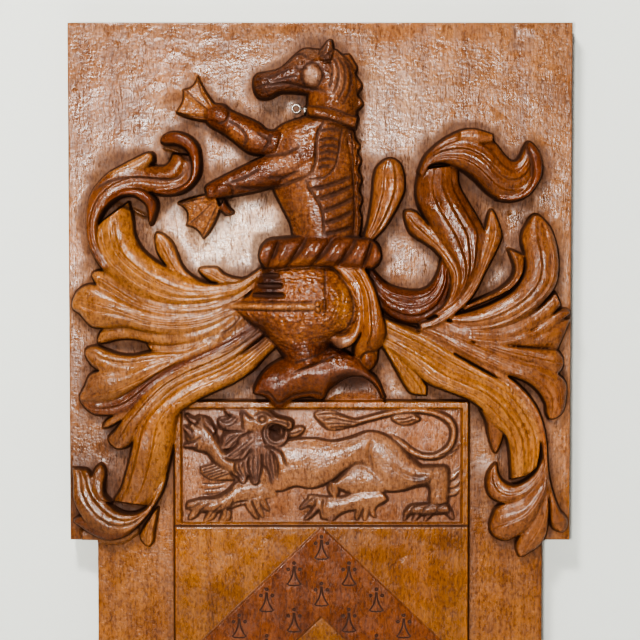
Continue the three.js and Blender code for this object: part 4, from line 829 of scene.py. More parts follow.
def torseRoll():
    # one roll of twisted cloth: fat folds that lean the same way, with a narrow cut between them
    made = newMap(noForm)
    reach = torse["halfLength"]
    rows, columns = window(toX([-reach, reach]), toZ([170, 208]), 2)
    gx, gz = np.meshgrid(mapX[columns] / gridStep, (mapZ[rows] + middle) / gridStep)
    end = torse["endRound"]
    past = np.clip(np.abs(gx) - reach + end, 0, end) / end
    half = torse["halfHeight"] * np.sqrt(np.clip(1 - past**2, 0, 1))
    centre = torse["middleZ"] - torse["droop"] * gx * gx
    up = (gz - centre) / np.maximum(half, 0.01)
    stops = [x0 + (x1 - x0) * (gz - z0) / (z1 - z0) for x0, z0, x1, z1 in torse["cuts"]]
    stops = [np.full(gx.shape, -reach - 4.0)] + stops + [np.full(gx.shape, reach + 4.0)]
    pillow = np.zeros(gx.shape)
    ribs = np.zeros(gx.shape)
    for left, right in zip(stops, stops[1:]):
        share = (gx - left) / np.maximum(right - left, 0.1)
        here = (share >= 0) & (share < 1)
        pillow[here] = np.clip(1 - np.abs(2 * share[here] - 1) ** 2.6, 0, 1) ** 0.6
        ribs[here] = np.cos(share[here] * 2 * math.pi * torse["ribCount"])
    body = np.sqrt(np.clip(1 - np.abs(up) ** 2.2, 0, 1))
    height = torse["low"] + (torse["high"] - torse["low"]) * body
    height = height * (1 - torse["pillow"] + torse["pillow"] * pillow) + torse["foldRibs"] * ribs * pillow
    inside = (np.abs(up) < 1) & (np.abs(gx) < reach)
    made[rows, columns] = np.where(inside, height * reliefStep, noForm)
    tintWhere(inside, "torse", (rows, columns))
    return made


crestStyle = {**leafStyle, "crown": 0.34, "crownMost": 0.55, "square": 2.1, "cutWidth": 6.0, "cutDepth": 0.4}
horseMap = newMap(noForm)
horseColours = {"head": ("head", "ear"), "arm": ("upper arm", "lower arm", "dew claw")}
layForms(seaHorseForms, crestStyle, horseMap, 3.0, 500, "horse", horseColours)
webFoot(horseMap, farFoot)
webFoot(horseMap, nearFoot)
torseMap = torseRoll()
helmetMap = newMap(noForm)
helmetColours = {"gorget": ("gorget", "throat"), "hood": ("gorget inside",), "bar": ("visor bar",)}
helmetStyle = {**crestStyle, "crown": 0.34, "crownMost": 0.62}
blended = 4  # the gorget, throat and skull run into one another, the bar and its link do not
layForms(helmetForms[:blended], helmetStyle, helmetMap, 5.0, 700, "helmet", helmetColours)
layForms(helmetForms[blended:], helmetStyle, helmetMap, 0, 700 + blended, "helmet", helmetColours)
for group in (horseMap, torseMap, helmetMap):
    heightMap = np.maximum(heightMap, group)

# lion, low on the sunk floor of the chief
print("lion")
lionStyle = {
    **leafStyle, "crown": 0.3, "crownMost": 0.6, "square": 2.2, "grooveDepth": 1.2,
    "base": shield["rise"] - shield["chiefSink"], "scale": 10.0 / 15, "cutDepth": 0.25,
}
lionMap = newMap(noForm)
darkForms = ("mane", "jaw", "hind claw", "far claw", "raised claw")
lionColours = {"mane": [form[0] for form in lionForms if form[0].startswith(darkForms)]}
layForms(lionForms, lionStyle, lionMap, 1.2, 800, "lion", lionColours)
heightMap = np.maximum(heightMap, lionMap).astype(np.float32)

# finer carving, in grid steps along each line and millimetres for its width and depth
print("finer carving")


def arc(x, z, radiusX, radiusZ, start, end):
    # points on part of an oval, in degrees from its right side, anticlockwise
    return [(x + radiusX * math.cos(math.radians(a)), z + radiusZ * math.sin(math.radians(a)))
            for a in np.linspace(start, end, 7)]


def carveAll(lines):
    # each kind of line has its width, depth and paths, and how much dirt and painted shade it takes where
    # that is unusual
    for width, depth, paths, *dirtAndShade in lines.values():
        for path in paths:
            carve(heightMap, path, width, depth, True, *dirtAndShade)


def raiseAll(knobs):
    for knob in knobs.values():
        dome(heightMap, *knob)


def softOval(x, z, radiusX, radiusZ, strength):
    # a window of the map and how much of an oval patch with a soft edge each cell has
    rows, columns = window(toX([x - radiusX, x + radiusX]), toZ([z - radiusZ, z + radiusZ]), 2)
    gx, gz = np.meshgrid(mapX[columns] / gridStep - x, (mapZ[rows] + middle) / gridStep - z)
    return (rows, columns), strength * np.clip(1.6 * (1 - np.hypot(gx / radiusX, gz / radiusZ)), 0, 1)


def paintOval(x, z, radiusX, radiusZ, strength, colour, lowOnly=False):
    # another colour, on everything or on the low ground only
    place, share = softOval(x, z, radiusX, radiusZ, strength)
    if lowOnly:
        share = share * (heightMap[place] < 3)
    for channel in range(3):
        part = tintMaps[channel][place]
        part += (share * (colour[channel] - part)).astype(np.float32)


def shadeOval(*oval):
    # painted shade: a soft oval laid on the dirt and shade map
    (rows, columns), share = softOval(*oval)
    addDirtAndShade(rows, columns, share)


carvedAway = 3.5  # cuts and beads may have moved a group's top this far


def onlyWhere(groupMap):
    # where the group is on top
    return (groupMap > noForm / 2) & (np.abs(groupMap - heightMap) < carvedAway)


stroke = {
    # a stroke's hollow across and along, and how far chance sinks it and tilts it either way
    "across": 2.2,
    "along": 0.8,
    "sunk": 0.3,
    "tiltAlong": 0.6,
    "tiltAcross": 0.7,
    "level": 0.4,
    "bend": 0.12,  # how far the rings wander from true
    "dirtAndShadeFrom": 0.72,  # how near a stroke's edge the dirt and painted shade begin
    "dirtAndShadeMost": 0.5,
    "dirtAndShadeForDepth": 0.32,
}


def gougeStrokes(groupMap, centre, region, length, width, depth, seed):
    # strokes of the gouge in rings round a centre: each is a shallow scoop with crisp edges
    rows, columns = window(toX(region[:2]), toZ(region[2:]), 0)
    gx, gz = np.meshgrid(mapX[columns] - float(toX(centre[0])), mapZ[rows] - float(toZ(centre[1])))
    random = np.random.default_rng(seed)
    far = np.hypot(gx, gz) + width * 1.2 * (1 + wander(seed, (14, 14), gx.shape))
    turn = np.arctan2(gz, gx) + stroke["bend"] * wander(seed + 1, (9, 9), gx.shape)
    ring = np.floor(far / width).astype(int)
    across = far / width - ring - 0.5
    along = turn * (ring + 0.5) * width / length + random.uniform(0, 1, ring.max() + 2)[ring]
    number = np.floor(along).astype(int)
    along -= number + 0.5
    chance = random.uniform(-1, 1, (ring.max() + 2, np.ptp(number) + 1, 3))[ring, number - number.min()]
    share = stroke["across"] * across**2 + stroke["along"] * along**2 + stroke["sunk"] * chance[..., 0]
    share += stroke["tiltAlong"] * chance[..., 1] * along + stroke["tiltAcross"] * chance[..., 2] * across
    share *= np.clip(0.75 + 0.5 * wander(seed + 2, (7, 7), gx.shape), 0.2, 1.3)
    here = onlyWhere(groupMap)[rows, columns]
    heightMap[rows, columns] += np.where(here, depth * (share - stroke["level"]), 0).astype(np.float32)
    # dirt and painted shade along one side of each stroke, where its step throws shadow
    near = np.maximum(2 * across, 1.6 * np.abs(along) + 0.12)
    edge = np.clip((near - stroke["dirtAndShadeFrom"]) / (1 - stroke["dirtAndShadeFrom"]), 0, 1)
    most = min(stroke["dirtAndShadeMost"], stroke["dirtAndShadeForDepth"] * depth)
    grimeAndShade = np.where(here, edge * most * np.clip(0.6 + 0.8 * chance[..., 1], 0, 1), 0)
    addDirtAndShade(rows, columns, grimeAndShade)


strokeFields = (
    # the group, the rings' centre, the region's sides, then length, width and depth of a stroke, and a seed
    (helmetMap, (-6, 142), (-92, 42, 84, 184), 11.0, 5.2, 1.8, 7),
    (helmetMap, (30, 0), (-68, 66, 32, 84), 18.0, 7.0, 0.35, 8),
    (horseMap, (-60, 420), (-150, 45, 198, 400), 9.0, 4.6, 1.0, 9),
    (lionMap, (0, 90), (-140, 145, -85, 35), 9.0, 4.2, 0.25, 10),
)
for field in strokeFields:
    gougeStrokes(*field)

# sea-horse
horseLines = {
    # width, depth, then the lines
    "mouth": (1.6, 2.4, [[(-64, 350), (-58, 351), (-50, 355)], [(-62, 358), (-57, 359)]]),
    # the jaw line's darkening is painted shadow under the jaw as well as dirt
    "jaw": (2.4, 2.4, [[(-50, 352), (-38, 354), (-26, 353), (-14, 350), (-2, 348), (6, 346)]]),
    "muzzle": (1.8, 1.4, [[(-52, 360), (-42, 363), (-30, 368)], [(-46, 356), (-34, 359), (-24, 361)]]),
    "brow": (1.8, 2.0, [[(-30, 374), (-26, 381), (-18, 383), (-12, 378)], [(-25, 370), (-18, 367),
      (-13, 370)]]),
    "cheek": (1.8, 2.2, [arc(-7.5, 361.5, 10.5, 13, -60, 300)]),
    "ear": (1.8, 2.0, [[(-2, 383), (4, 385), (7, 392)], [(12, 386), (6, 381), (0, 380)]]),
    "mane": (2.0, 1.6, [[(1, 383), (10, 374), (12, 362), (9, 349)], [(9, 384), (17, 372), (18, 357),
      (13, 343)], [(16, 382), (24, 369), (24, 352), (18, 338)], [(23, 379), (30, 365), (29, 348),
      (23, 334)]]),
    "collar": (1.6, 2.0, [[(-12, 332.5), (10, 329), (35, 321.5)], [(-12, 322), (10, 318), (33, 310)]]),
    "chest": (2.0, 2.6, [[(4, 317), (-2, 306), (-4, 293), (-4, 280), (-7, 270), (-13, 262)]]),
    "throat panel": (1.6, 1.8, [[(22, 313), (20, 300), (18, 285), (14, 271), (4, 262), (-12, 260)]]),
    "belly edge": (2.0, 2.2, [[(-13, 260), (-11, 252), (-5, 243), (0, 235), (3, 224), (3.5, 213), (4, 204)]]),
    # the line under the arm is painted dark as the shadow beneath the arm, as well as dirt
    "under arm": (3.0, 3.2, [[(-84, 252), (-60, 251), (-40, 253), (-24, 259), (-13, 263)]]),
    "shoulder": (2.6, 1.8, [[(-58, 283), (-45, 284), (-32, 286), (-20, 292)], [(-49, 305), (-50, 297),
      (-56, 288)]]),
    "arm muscles": (2.4, 1.6, [[(-90, 318), (-78, 310), (-72, 300), (-76, 292)], [(-62, 306), (-52, 300),
      (-48, 294)], [(-88, 257), (-74, 262), (-60, 270)], [(-50, 262), (-36, 262), (-22, 268)]]),
    "back": (1.6, 2.0, [[(31, 311), (32, 290), (33, 262), (34, 235), (34, 204)]]),
    "web": (1.2, 1.0, [[(-133, 349), (-122, 338), (-110, 328)], [(-140, 326), (-126, 322), (-110, 321)],
      [(-121, 358), (-117, 344), (-108, 332)], [(-140, 236), (-124, 240), (-108, 243)], [(-130, 216),
      (-118, 226), (-106, 238)], [(-117, 204), (-110, 218), (-103, 232)]]),
    "throat scales": (2.2, 1.8, [
      [(-1, z), (right * 0.5, z + 2.2), (right, z + 1)]
      for z, right in ((307, 19), (298, 18.5), (291, 18), (285, 17.5), (278, 15), (271, 11))]),
    "ribs": (3.6, 2.8, [[(-10, 250), (5, 253), (20, 258), (30, 263)], [(-2, 240), (15, 246), (31, 253)],
      [(2, 228), (20, 235), (32, 241)], [(4, 217), (18, 221), (32, 228)], [(4, 206), (18, 209), (32, 213)]]),
    "fin nicks": (1.3, 1.2, [
      [(36, z + 3), (39, z), (42, z - 2)] for z in (300, 288, 281, 274, 262, 255, 241, 234, 221, 212)]),
    "far wrist": (1.6, 1.6, [arc(-99, 324.5, 9.5, 9.5, -100, 80)]),
    "near wrist": (1.8, 2.0, [arc(-96, 247, 10, 10, -120, 70)]),
}
horseKnobs = {
    # place, radii and height
    "eye socket": (-20, 374.5, 5.5, 5.5, -3.0),
    "eye": (-20, 374.5, 3.4, 3.4, 3.6),
    "cheek": (-7.5, 361.5, 9.5, 12, 1.8),
    "far wrist": (-99, 324.5, 8.5, 8.5, 3.0),
    "near wrist": (-96, 247, 9, 9, 3.4),
}
carveAll(horseLines)
raiseAll(horseKnobs)
for x0, z0, x1, z1 in torse["cuts"]:
    lean = (x1 - x0) * 0.12
    bends = [(x0 * 0.6 + x1 * 0.4 + lean, 187), (x0 * 0.3 + x1 * 0.7 + lean, 194)]
    carve(heightMap, [(x0, z0), *bends, (x1, z1)], torse["cutWidth"], torse["cutDepth"])

# helmet
helmetLines = {
    "bar edges": (1.5, 2.6, [[(-90, 131.2), (-40, 130.8), (-6, 130.8)], [(-88, 139), (-40, 139.2),
      (-6, 139.2)]]),
    "seam": (1.3, 2.0, [[(4, 178), (5, 160), (4.5, 143)]]),
    "neck roll": (1.6, 2.4, [[(-27, 69), (-15, 73.5), (-3, 78), (8, 83), (16, 87)]]),
    "neck groove": (1.6, 1.2, [[(-25, 78), (-13, 83), (-2, 87), (7, 91)]]),
    "gorget hem": (1.8, 1.8, [[(-60, 50), (-50, 48), (-41, 38), (-28, 45), (-10, 49), (3, 47)]]),
    "chin": (2.2, 1.6, [[(-78, 125), (-62, 113), (-46, 97), (-32, 82)]]),
    "skull side": (1.8, 1.6, [[(8, 176), (20, 164), (30, 148), (33, 132), (29, 117), (20, 109), (10, 111)]]),
    "hood ball": (1.8, 3.0, [[(40, 78), (42, 86), (48, 89.5), (55, 90), (60, 93)]]),
    "neck bead": (1.6, -1.2, [[(-26, 71), (-14, 75.7), (-2, 80.2), (7, 84.5)]]),
    "above the slots": (1.3, 1.6, [[(-52, 172), (-42, 173)]]),
}
carveAll(helmetLines)


eyeSlots = {
    # left, right, height of the middle line, half width and depth
    "upper": (-56, -42, 165.5, 2.8, 5.0),
    "middle": (-60, -39, 155.5, 3.1, 6.0),
    "lower": (-65, -37, 146, 3.1, 6.5),
}
slotEdge = {"wall": 0.9, "floorLift": 0.3, "floorSpread": 0.8, "lip": 0.8, "lipSpread": 0.7, "grimeAndShade": 1.3}


def eyeSlot(left, right, z, half, depth):
    # a sunk bar with a slightly higher floor, painted darker as shade where it is deepest
    rows, columns, distance, _ = lineDistance([(left, z), (right, z)], half + 2)
    cut = depth * np.clip((half - distance) / slotEdge["wall"], 0, 1)
    cut = cut * (1 - slotEdge["floorLift"] * np.exp(-((distance / slotEdge["floorSpread"]) ** 2)))
    outside = distance - half - slotEdge["wall"]
    lip = slotEdge["lip"] * np.exp(-((outside / slotEdge["lipSpread"]) ** 2))
    heightMap[rows, columns] += (lip - cut).astype(np.float32)
    addDirtAndShade(rows, columns, np.clip(slotEdge["grimeAndShade"] * cut / depth, 0, 1))


for slot in eyeSlots.values():
    eyeSlot(*slot)
rivet = {"x": -2, "heights": (138.2, 131.8), "radius": 2.9, "rise": 2.6, "rim": 3.2}
for z in rivet["heights"]:
    dome(heightMap, rivet["x"], z, rivet["radius"], rivet["radius"], rivet["rise"])
    carve(heightMap, arc(rivet["x"], z, rivet["rim"], rivet["rim"], 0, 360), 0.9, 1.2, False)
linkNicks = (130, 133, 136, 139, 142)
for z in linkNicks:
    carve(heightMap, [(2.2, z), (5.8, z)], 0.9, 1.1, False)
seamPricks = {"count": 11, "x": 4.6, "lean": 0.02, "z": 145, "pitch": 3, "radii": (1.3, 1.0), "depth": 0.9}
for i in range(seamPricks["count"]):
    x, z = seamPricks["x"] - seamPricks["lean"] * i, seamPricks["z"] + seamPricks["pitch"] * i
    dome(heightMap, x, z, *seamPricks["radii"], -seamPricks["depth"])
dome(heightMap, 49, 80, 7, 7.5, 3.4)

# mantling: lines that follow the ribbons and the hollows inside the curls; the fold hollows and the wave slit
# are painted dark as the shade under the rolled rims
leafLines = {
    "ribbon": (2.0, 2.0, [[(-222, 250), (-210, 257), (-195, 261), (-180, 262), (-165, 261), (-150, 260),
      (-140, 262), (-131, 270)]]),
    "fold hollow": (3.4, 3.4, [[(-205, 236), (-190, 232), (-171, 222)], [(-157, 292), (-143, 288),
      (-130, 278)]]),
    "wave slit": (2.4, 3.0, [[(203, 293), (208, 278), (209, 262)]]),
    "chin leaf": (1.3, 1.6, [[(-62, 113), (-70, 104), (-82, 95), (-98, 88)], [(-78, 126), (-86, 115),
      (-98, 107), (-112, 101)], [(-54, 104), (-64, 94), (-80, 85)]]),
}
carveAll(leafLines)

# the cut line under the chief
edgeLeft, edgeRight = shieldLeft / gridStep + 1, shieldRight / gridStep - 1
edgeZ = (chiefBottom + middle) / gridStep - 0.4
carve(heightMap, [(edgeLeft, edgeZ), (edgeRight, edgeZ)], 1.9, 1.1, False, 1.0)

# lion
lionLines = {
    "ear": (2.3, 2.2, [[(-79, 31), (-78, 21), (-77, 10)], [(-77, 30), (-71, 24), (-66, 21)]]),
    "brow": (1.8, 1.6, [[(-65, 25), (-58, 28.5), (-51, 26.5), (-46, 22)], [(-47, 20), (-40, 19), (-33, 17),
      (-30, 14)]]),
    "nose": (1.7, 1.6, [[(-33, 20), (-31, 16), (-34, 12.5)], [(-51, 17), (-45, 16.5), (-38, 14.5),
      (-33, 12)]]),
    "jaw": (1.7, 1.6, [arc(-44.5, 7, 9.5, 10.5, 100, 290), arc(-44.5, 6.5, 12.5, 13.5, 130, 270)]),
    "throat": (2.1, 2.4, [[(-57, -5.5), (-47, -8), (-39, -12), (-35.5, -20), (-33, -26)]]),
    "tongue": (1.5, 1.2, [[(-31, 6.5), (-24, 7.5), (-18, 10.5)]]),
    "mane locks": (2.0, 2.6, [[(-101, 20), (-93, 21.5), (-88, 26)], [(-100, 12), (-92, 8.5), (-84, 9),
      (-76, 9)], [(-97, -9.5), (-90, -10), (-84, -5), (-81, 2), (-77, 5), (-66, 9.5)], [(-96, -18),
      (-86, -20.5), (-77, -19), (-70, -12), (-68, -6)], [(-84, -21), (-85, -30), (-78, -38)], [(-70.5, -14),
      (-71.5, -27), (-66.5, -42)], [(-58, -13), (-57.5, -26), (-61, -41)], [(-56.5, -25), (-51, -33),
      (-49, -43)], [(-52, -8), (-45.5, -15), (-42, -26), (-43, -38)]]),
    "mane strands": (1.5, 1.1, [[(-98, 18), (-91, 18.5), (-84, 24)], [(-92, 14), (-86, 17), (-82, 22)],
      [(-97, 6), (-94, 14)], [(-95, -6), (-89, 0), (-82, 5)], [(-94, -1), (-90, 3), (-85, 6)], [(-91, -9),
      (-87, -4), (-84, 0)], [(-92, -16.5), (-82, -9), (-72, -1)], [(-88, -18.5), (-79, -13), (-71, -6)],
      [(-82, -23), (-80, -30), (-76, -37)], [(-77, -20), (-75, -30), (-73, -38)], [(-66, -14), (-67.5, -27),
      (-65, -40)], [(-62, -15), (-62, -28), (-63, -40)], [(-54, -13), (-53.5, -24), (-49, -37)],
      [(-50.5, -12), (-49, -24), (-46.5, -38)], [(-47, -15), (-45, -25), (-44.5, -36)]]),
    "chest tuft": (1.5, 1.3, [[(-106, -23.5), (-119, -27.5)], [(-103, -25.5), (-118, -30.5)], [(-100, -27.5),
      (-117, -33.5)], [(-97, -29.5), (-114, -35.5)], [(-94, -31.5), (-111, -37.5)], [(-91, -33.5),
      (-106, -39)]]),
    "faint tuft": (1.3, 0.7, [[(-94, -42), (-106, -44), (-118, -43.5)], [(-97, -47), (-106, -49),
      (-116, -50)], [(-100, -52.5), (-108, -54.5), (-118, -54.5)]]),
    "raised paw": (1.7, 1.8, [[(-134, 24), (-124, 22), (-118, 13)], [(-121, 24), (-116, 15), (-109, 8),
      (-103, 2)], [(-135, 14), (-128, 11), (-127, 4)], [(-134, -3), (-127, -1), (-119, 3)], [(-128, 18),
      (-123, 13), (-118, 11)], [(-114, 21), (-108, 15)]], 0.6),
    "low paw": (1.7, 1.8, [[(-133, -68), (-126, -67), (-120, -62)], [(-120, -72), (-116, -67), (-110, -63)],
      [(-106, -73), (-102, -68), (-97, -64)], [(-86, -58), (-88, -66), (-84, -63), (-70, -60.5)]], 0.6),
    "far toes": (1.7, 1.8, [[(-17, -67), (-11, -61), (-6, -57)], [(-12, -75), (-6, -66), (-3, -58)],
      [(2, -74), (2, -66), (4, -58)]], 0.6),
    "hind toes": (1.7, 1.8, [[(91, -73), (93, -68), (98, -65)], [(103, -73), (105, -68), (110, -65.5)],
      [(117, -73), (118, -68), (122, -65)]], 0.6),
    "tail strands": (1.5, 1.2, [[(-3, 25.5), (10, 27), (22, 25), (36, 20)], [(3, 20), (13, 22), (25, 19.5),
      (38, 18)], [(7, 16), (18, 17), (31, 16)], [(11, 12.5), (21, 13.5), (32, 14)], [(76, 21), (83, 21),
      (92, 24)], [(80, 18), (87, 18.5), (95, 21)], [(119, -15), (128, -12), (137, -5)], [(124, -17),
      (131, -13), (137, -9)]]),
    "flank": (4.5, 1.6, [[(52, 0), (49, -10), (50, -20), (52, -28)], [(72, -24), (84, -33), (98, -37),
      (107, -35)]], 0.12),
    "behind the lips": (1.3, 2.4, [[(-36.3, 13), (-36.6, 7), (-36.3, 1)]]),
}
lionKnobs = {
    "eye socket": (-57.5, 21.5, 5.6, 5.0, -1.8),
    "eye": (-57.5, 21.5, 3.4, 3.2, 3.2),
    "mouth": (-45.3, 7, 6.2, 8.2, -4.0),
}
carveAll(lionLines)
raiseAll(lionKnobs)
lips = (-39.3, -33.2)
for x in lips:
    carve(heightMap, [(x, 14), (x - 0.5, 7), (x, -0.5)], 1.1, -1.4, False)

# darker and lighter places: the old wood's patina, and painted shade and painted highlights where marked
# below; place, radii, strength and colour
patinaAndPaintedLight = {
    "cheek": (-7.5, 361.5, 10.5, 13, 0.85, (0.34, 0.2, 0.13)),
    "mane": (16, 358, 12, 18, 0.6, (0.3, 0.15, 0.085)),
    # painted highlights on the lit tops of the near shoulder and the far arm
    "shoulder": (-36, 276, 22, 14, 0.7, (0.3, 0.13, 0.06)),
    "far arm": (-76, 303, 24, 14, 0.6, (0.28, 0.1, 0.03)),
    "hood ball": (49, 80, 8.5, 9, 0.9, (0.13, 0.036, 0.008)),
    "hood hook": (22, 99, 13, 8, 0.5, (0.36, 0.2, 0.11)),
    "visor": (-40, 130, 60, 60, 0.25, (0.2, 0.05, 0.008)),
    # painted shade by the eye slots, under the chin, on the neck under the hood and inside the gorget's arch
    "slots": (-51, 156, 17, 24, 1.0, (0.06, 0.015, 0.004)),
    "chin": (-66, 108, 26, 26, 0.75, (0.07, 0.018, 0.005)),
    "neck": (12, 96, 16, 10, 0.7, (0.07, 0.018, 0.005)),
    "gorget inside": (30, 58, 32, 17, 0.7, (0.08, 0.022, 0.006)),
    "back of the skull": (22, 138, 12, 28, 0.7, (0.36, 0.14, 0.02)),
    # painted shade on the gorget's left side, which turns away from the light
    "gorget": (-55, 62, 22, 24, 0.8, (0.09, 0.022, 0.006)),
    # painted shade in the lion's open mouth
    "lion's mouth": (-45.3, 7, 6.6, 8.8, 1.0, (0.05, 0.014, 0.005)),
    "low left": (-215, -40, 60, 110, 0.75, (0.13, 0.05, 0.018)),
    "left edge": (-235, 60, 30, 60, 0.6, (0.15, 0.06, 0.025)),
    "shield right": (70, -130, 90, 70, 0.4, (0.17, 0.052, 0.008)),
    "shield left": (-100, -110, 60, 40, 0.5, (0.3, 0.11, 0.012)),
    "hock": (100, -38, 12, 8, 0.8, (0.06, 0.02, 0.01)),
    "hind paw": (106, -69, 25, 10, 0.75, (0.12, 0.045, 0.017)),
    "far paw": (-10, -66, 14, 12, 0.5, (0.15, 0.06, 0.025)),
    "fore paw": (-118, -66, 24, 12, 0.45, (0.15, 0.06, 0.025)),
    "top left": (-210, 345, 60, 90, 0.6, (0.22, 0.09, 0.036)),
    "top": (-40, 395, 200, 30, 0.5, (0.2, 0.085, 0.036)),
}
# painted reflection: pale glare of the light on the low ground beside the torse and the collar
paintedGlare = {
    "left of the torse": (-95, 208, 80, 55, 0.85, (0.54, 0.37, 0.25)),
    "right of the collar": (70, 330, 60, 60, 0.5, (0.42, 0.25, 0.15)),
}
# painted shade, which also dulls the wax: by the eye slots, under the chin, at the neck and inside the
# gorget's arch
paintedShadeSpots = {
    "slots": (-49, 156, 16, 24, 0.5),
    "chin": (-62, 106, 18, 20, 0.45),
    "neck": (14, 97, 13, 9, 0.5),
    "gorget inside": (30, 61, 30, 15, 0.75),
}
for patch in patinaAndPaintedLight.values():
    paintOval(*patch)
for patch in paintedGlare.values():
    paintOval(*patch, lowOnly=True)
for patch in paintedShadeSpots.values():
    shadeOval(*patch)

# wear and small faults that the photograph shows
holeDepth = 3.0
insectHoles = ((189, 227, 1.7), (-244, 349, 1.5), (-189, 410, 1.4), (-203, 395, 1.2))
for x, z, radius in insectHoles:
    dome(heightMap, x, z, radius, radius, -holeDepth)
cracks = {
    "at the top": (0.9, 1.6, [[(193, 415), (193.5, 405), (193, 394)]]),
    "at the right edge": (0.8, 1.2, [[(235, 130), (243, 129.5), (251, 130)]]),
}
carveAll(cracks)

# the panel's mesh: the height field as a sheet, thinned, then closed by its sides and back
print("panel mesh")
sheet = {
    "block": 4,  # map cells along each side of a block
    "flatness": 0.12,  # a block that rises less than this stays whole
    "dirtAndShadeShare": 0.6,  # how much the dirt and painted shade count beside form when the sheet is thinned
    "planing": 0.35,  # how far the hand-planed face rises and falls
    "triangles": 186000,
    "sides": (0.06, 0.5, 0.94, 1.0),  # how far back each ring of the sides lies
    "sideShade": 0.8,  # the sides are darker than the front
    "sharpAngle": 52,
}


def newObject(name, data):
    made = bpy.data.objects.new(name, data)
    bpy.context.collection.objects.link(made)
    return made


def remade(mesh, name, kind, prepare):
    # the mesh that one modifier makes of another; the modifier and its object go again
    rig = newObject(name, mesh)
    prepare(rig.modifiers.new(name, kind))
    graph = bpy.context.evaluated_depsgraph_get()
    result = bpy.data.meshes.new_from_object(rig.evaluated_get(graph))
    bpy.data.objects.remove(rig)
    return result


def arrisDrop():
    # the board's front edges are worn round, more in some places than in others
    worn = 0.75 + 0.35 * wander(41, (60, 38), heightMap.shape)
    gx, gz = np.meshgrid(mapX, mapZ)
    upper = gz >= earBottom
    away = np.where(upper, halfWidth, lowerHalfWidth) - np.abs(gx)
    away = np.minimum(np.minimum(away, panelTop - gz), gz - panelBottom)
    onEar = upper & (np.abs(gx) > lowerHalfWidth)
    away = np.where(onEar, np.minimum(away, gz - earBottom), away)
    reach = board["arris"] * worn
    share = np.clip(1 - away / reach, 0, 1)
    return reach * share * share


def meshOf(name, coords, faces):
    mesh = bpy.data.meshes.new(name)
    sides = faces.shape[1]
    mesh.vertices.add(len(coords))
    mesh.vertices.foreach_set("co", np.ascontiguousarray(coords, dtype=np.float32).ravel())
    mesh.loops.add(faces.size)
    mesh.loops.foreach_set("vertex_index", faces.astype(np.int32).ravel())
    mesh.polygons.add(len(faces))
    mesh.polygons.foreach_set("loop_start", np.arange(0, faces.size, sides, dtype=np.int32))
    mesh.update(calc_edges=True)
    return mesh


def sampled(values, x, z):
    # the map's value at any place, in millimetres
    c = np.clip((x + halfWidth) / mapCell, 0, mapColumns - 1.001)
    r = np.clip((z - panelBottom) / mapCell, 0, mapRows - 1.001)
    c0, r0 = c.astype(int), r.astype(int)
    fc, fr = c - c0, r - r0
    low = values[r0, c0] * (1 - fc) + values[r0, c0 + 1] * fc
    high = values[r0 + 1, c0] * (1 - fc) + values[r0 + 1, c0 + 1] * fc
    return low * (1 - fr) + high * fr


def steps(stops, counts):
    # places for the sheet's rows or columns, even between the stops
    parts = [np.linspace(p, q, n + 1)[:-1] for p, q, n in zip(stops, stops[1:], counts)]
    return np.concatenate(parts + [[stops[-1]]])


def blockCount(length):
    return max(1, int(round(length / mapCell / sheet["block"]))) * sheet["block"]


def panelSheet(field):
    # a fine grid where there is carving and whole blocks where there is none, joined without gaps
    block = sheet["block"]
    ear = blockCount(board["earWidth"])
    xs = steps([-halfWidth, -lowerHalfWidth, lowerHalfWidth, halfWidth],
               [ear, blockCount(2 * lowerHalfWidth), ear])
    zs = steps([panelBottom, earBottom, panelTop],
               [blockCount(earBottom - panelBottom), blockCount(panelTop - earBottom)])
    gx, gz = np.meshgrid(xs, zs)
    height = sampled(field, gx, gz)
    coords = np.stack([gx, -height, gz], axis=-1).reshape(-1, 3) * mm
    width = len(xs)
    down, along = (len(zs) - 1) // block, (width - 1) // block
    corner = height[::block, ::block]
    flat = (corner[:-1, :-1] + corner[1:, :-1] + corner[:-1, 1:] + corner[1:, 1:]) / 4
    inner = height[:-1, :-1].reshape(down, block, along, block)
    lumpy = np.abs(inner - flat[:, None, :, None]).max(axis=(1, 3)) > sheet["flatness"]
    grown = lumpy.copy()
    grown[1:] |= lumpy[:-1]
    grown[:-1] |= lumpy[1:]
    grown[:, 1:] |= lumpy[:, :-1]
    grown[:, :-1] |= lumpy[:, 1:]
    blockZ, blockX = (zs[:-1:block] + zs[block::block]) / 2, (xs[:-1:block] + xs[block::block]) / 2
    keep = (blockZ > earBottom)[:, None] | (np.abs(blockX) < lowerHalfWidth)[None, :]
    fine = grown & keep
    coarse = ~grown & keep
    # fine blocks
    r, c = np.nonzero(np.repeat(np.repeat(fine, block, axis=0), block, axis=1))
    a = r * width + c
    faces = [np.stack([a, a + 1, a + width + 1], axis=1), np.stack([a, a + width + 1, a + width], axis=1)]
    # coarse blocks are fans round their middle, with every point of a fine neighbour's edge
    padded = np.pad(fine, 1)
    r, c = np.nonzero(coarse)
    centre = (r * block + block // 2) * width + c * block + block // 2
    first = r * block * width + c * block
    for side, (rowShift, columnShift) in enumerate(((-1, 0), (0, 1), (1, 0), (0, -1))):
        nearFine = padded[r + 1 + rowShift, c + 1 + columnShift]
        z0, z1 = ((0, 0), (0, block), (block, block), (block, 0))[side]
        x0, x1 = ((0, block), (block, block), (block, 0), (0, 0))[side]
        # the points along this side, one for each cell
        rim = [first + (z0 + (z1 - z0) * share // block) * width + x0 + (x1 - x0) * share // block
               for share in range(block + 1)]
        for p, q in zip(rim, rim[1:]):
            faces.append(np.stack([centre, p, q], axis=1)[nearFine])
        faces.append(np.stack([centre, rim[0], rim[-1]], axis=1)[~nearFine])
    faces = np.concatenate(faces)
    used, renumbered = np.unique(faces, return_inverse=True)
    print("  sheet triangles", len(faces))
    return meshOf("panelSheet", coords[used], renumbered.reshape(faces.shape))


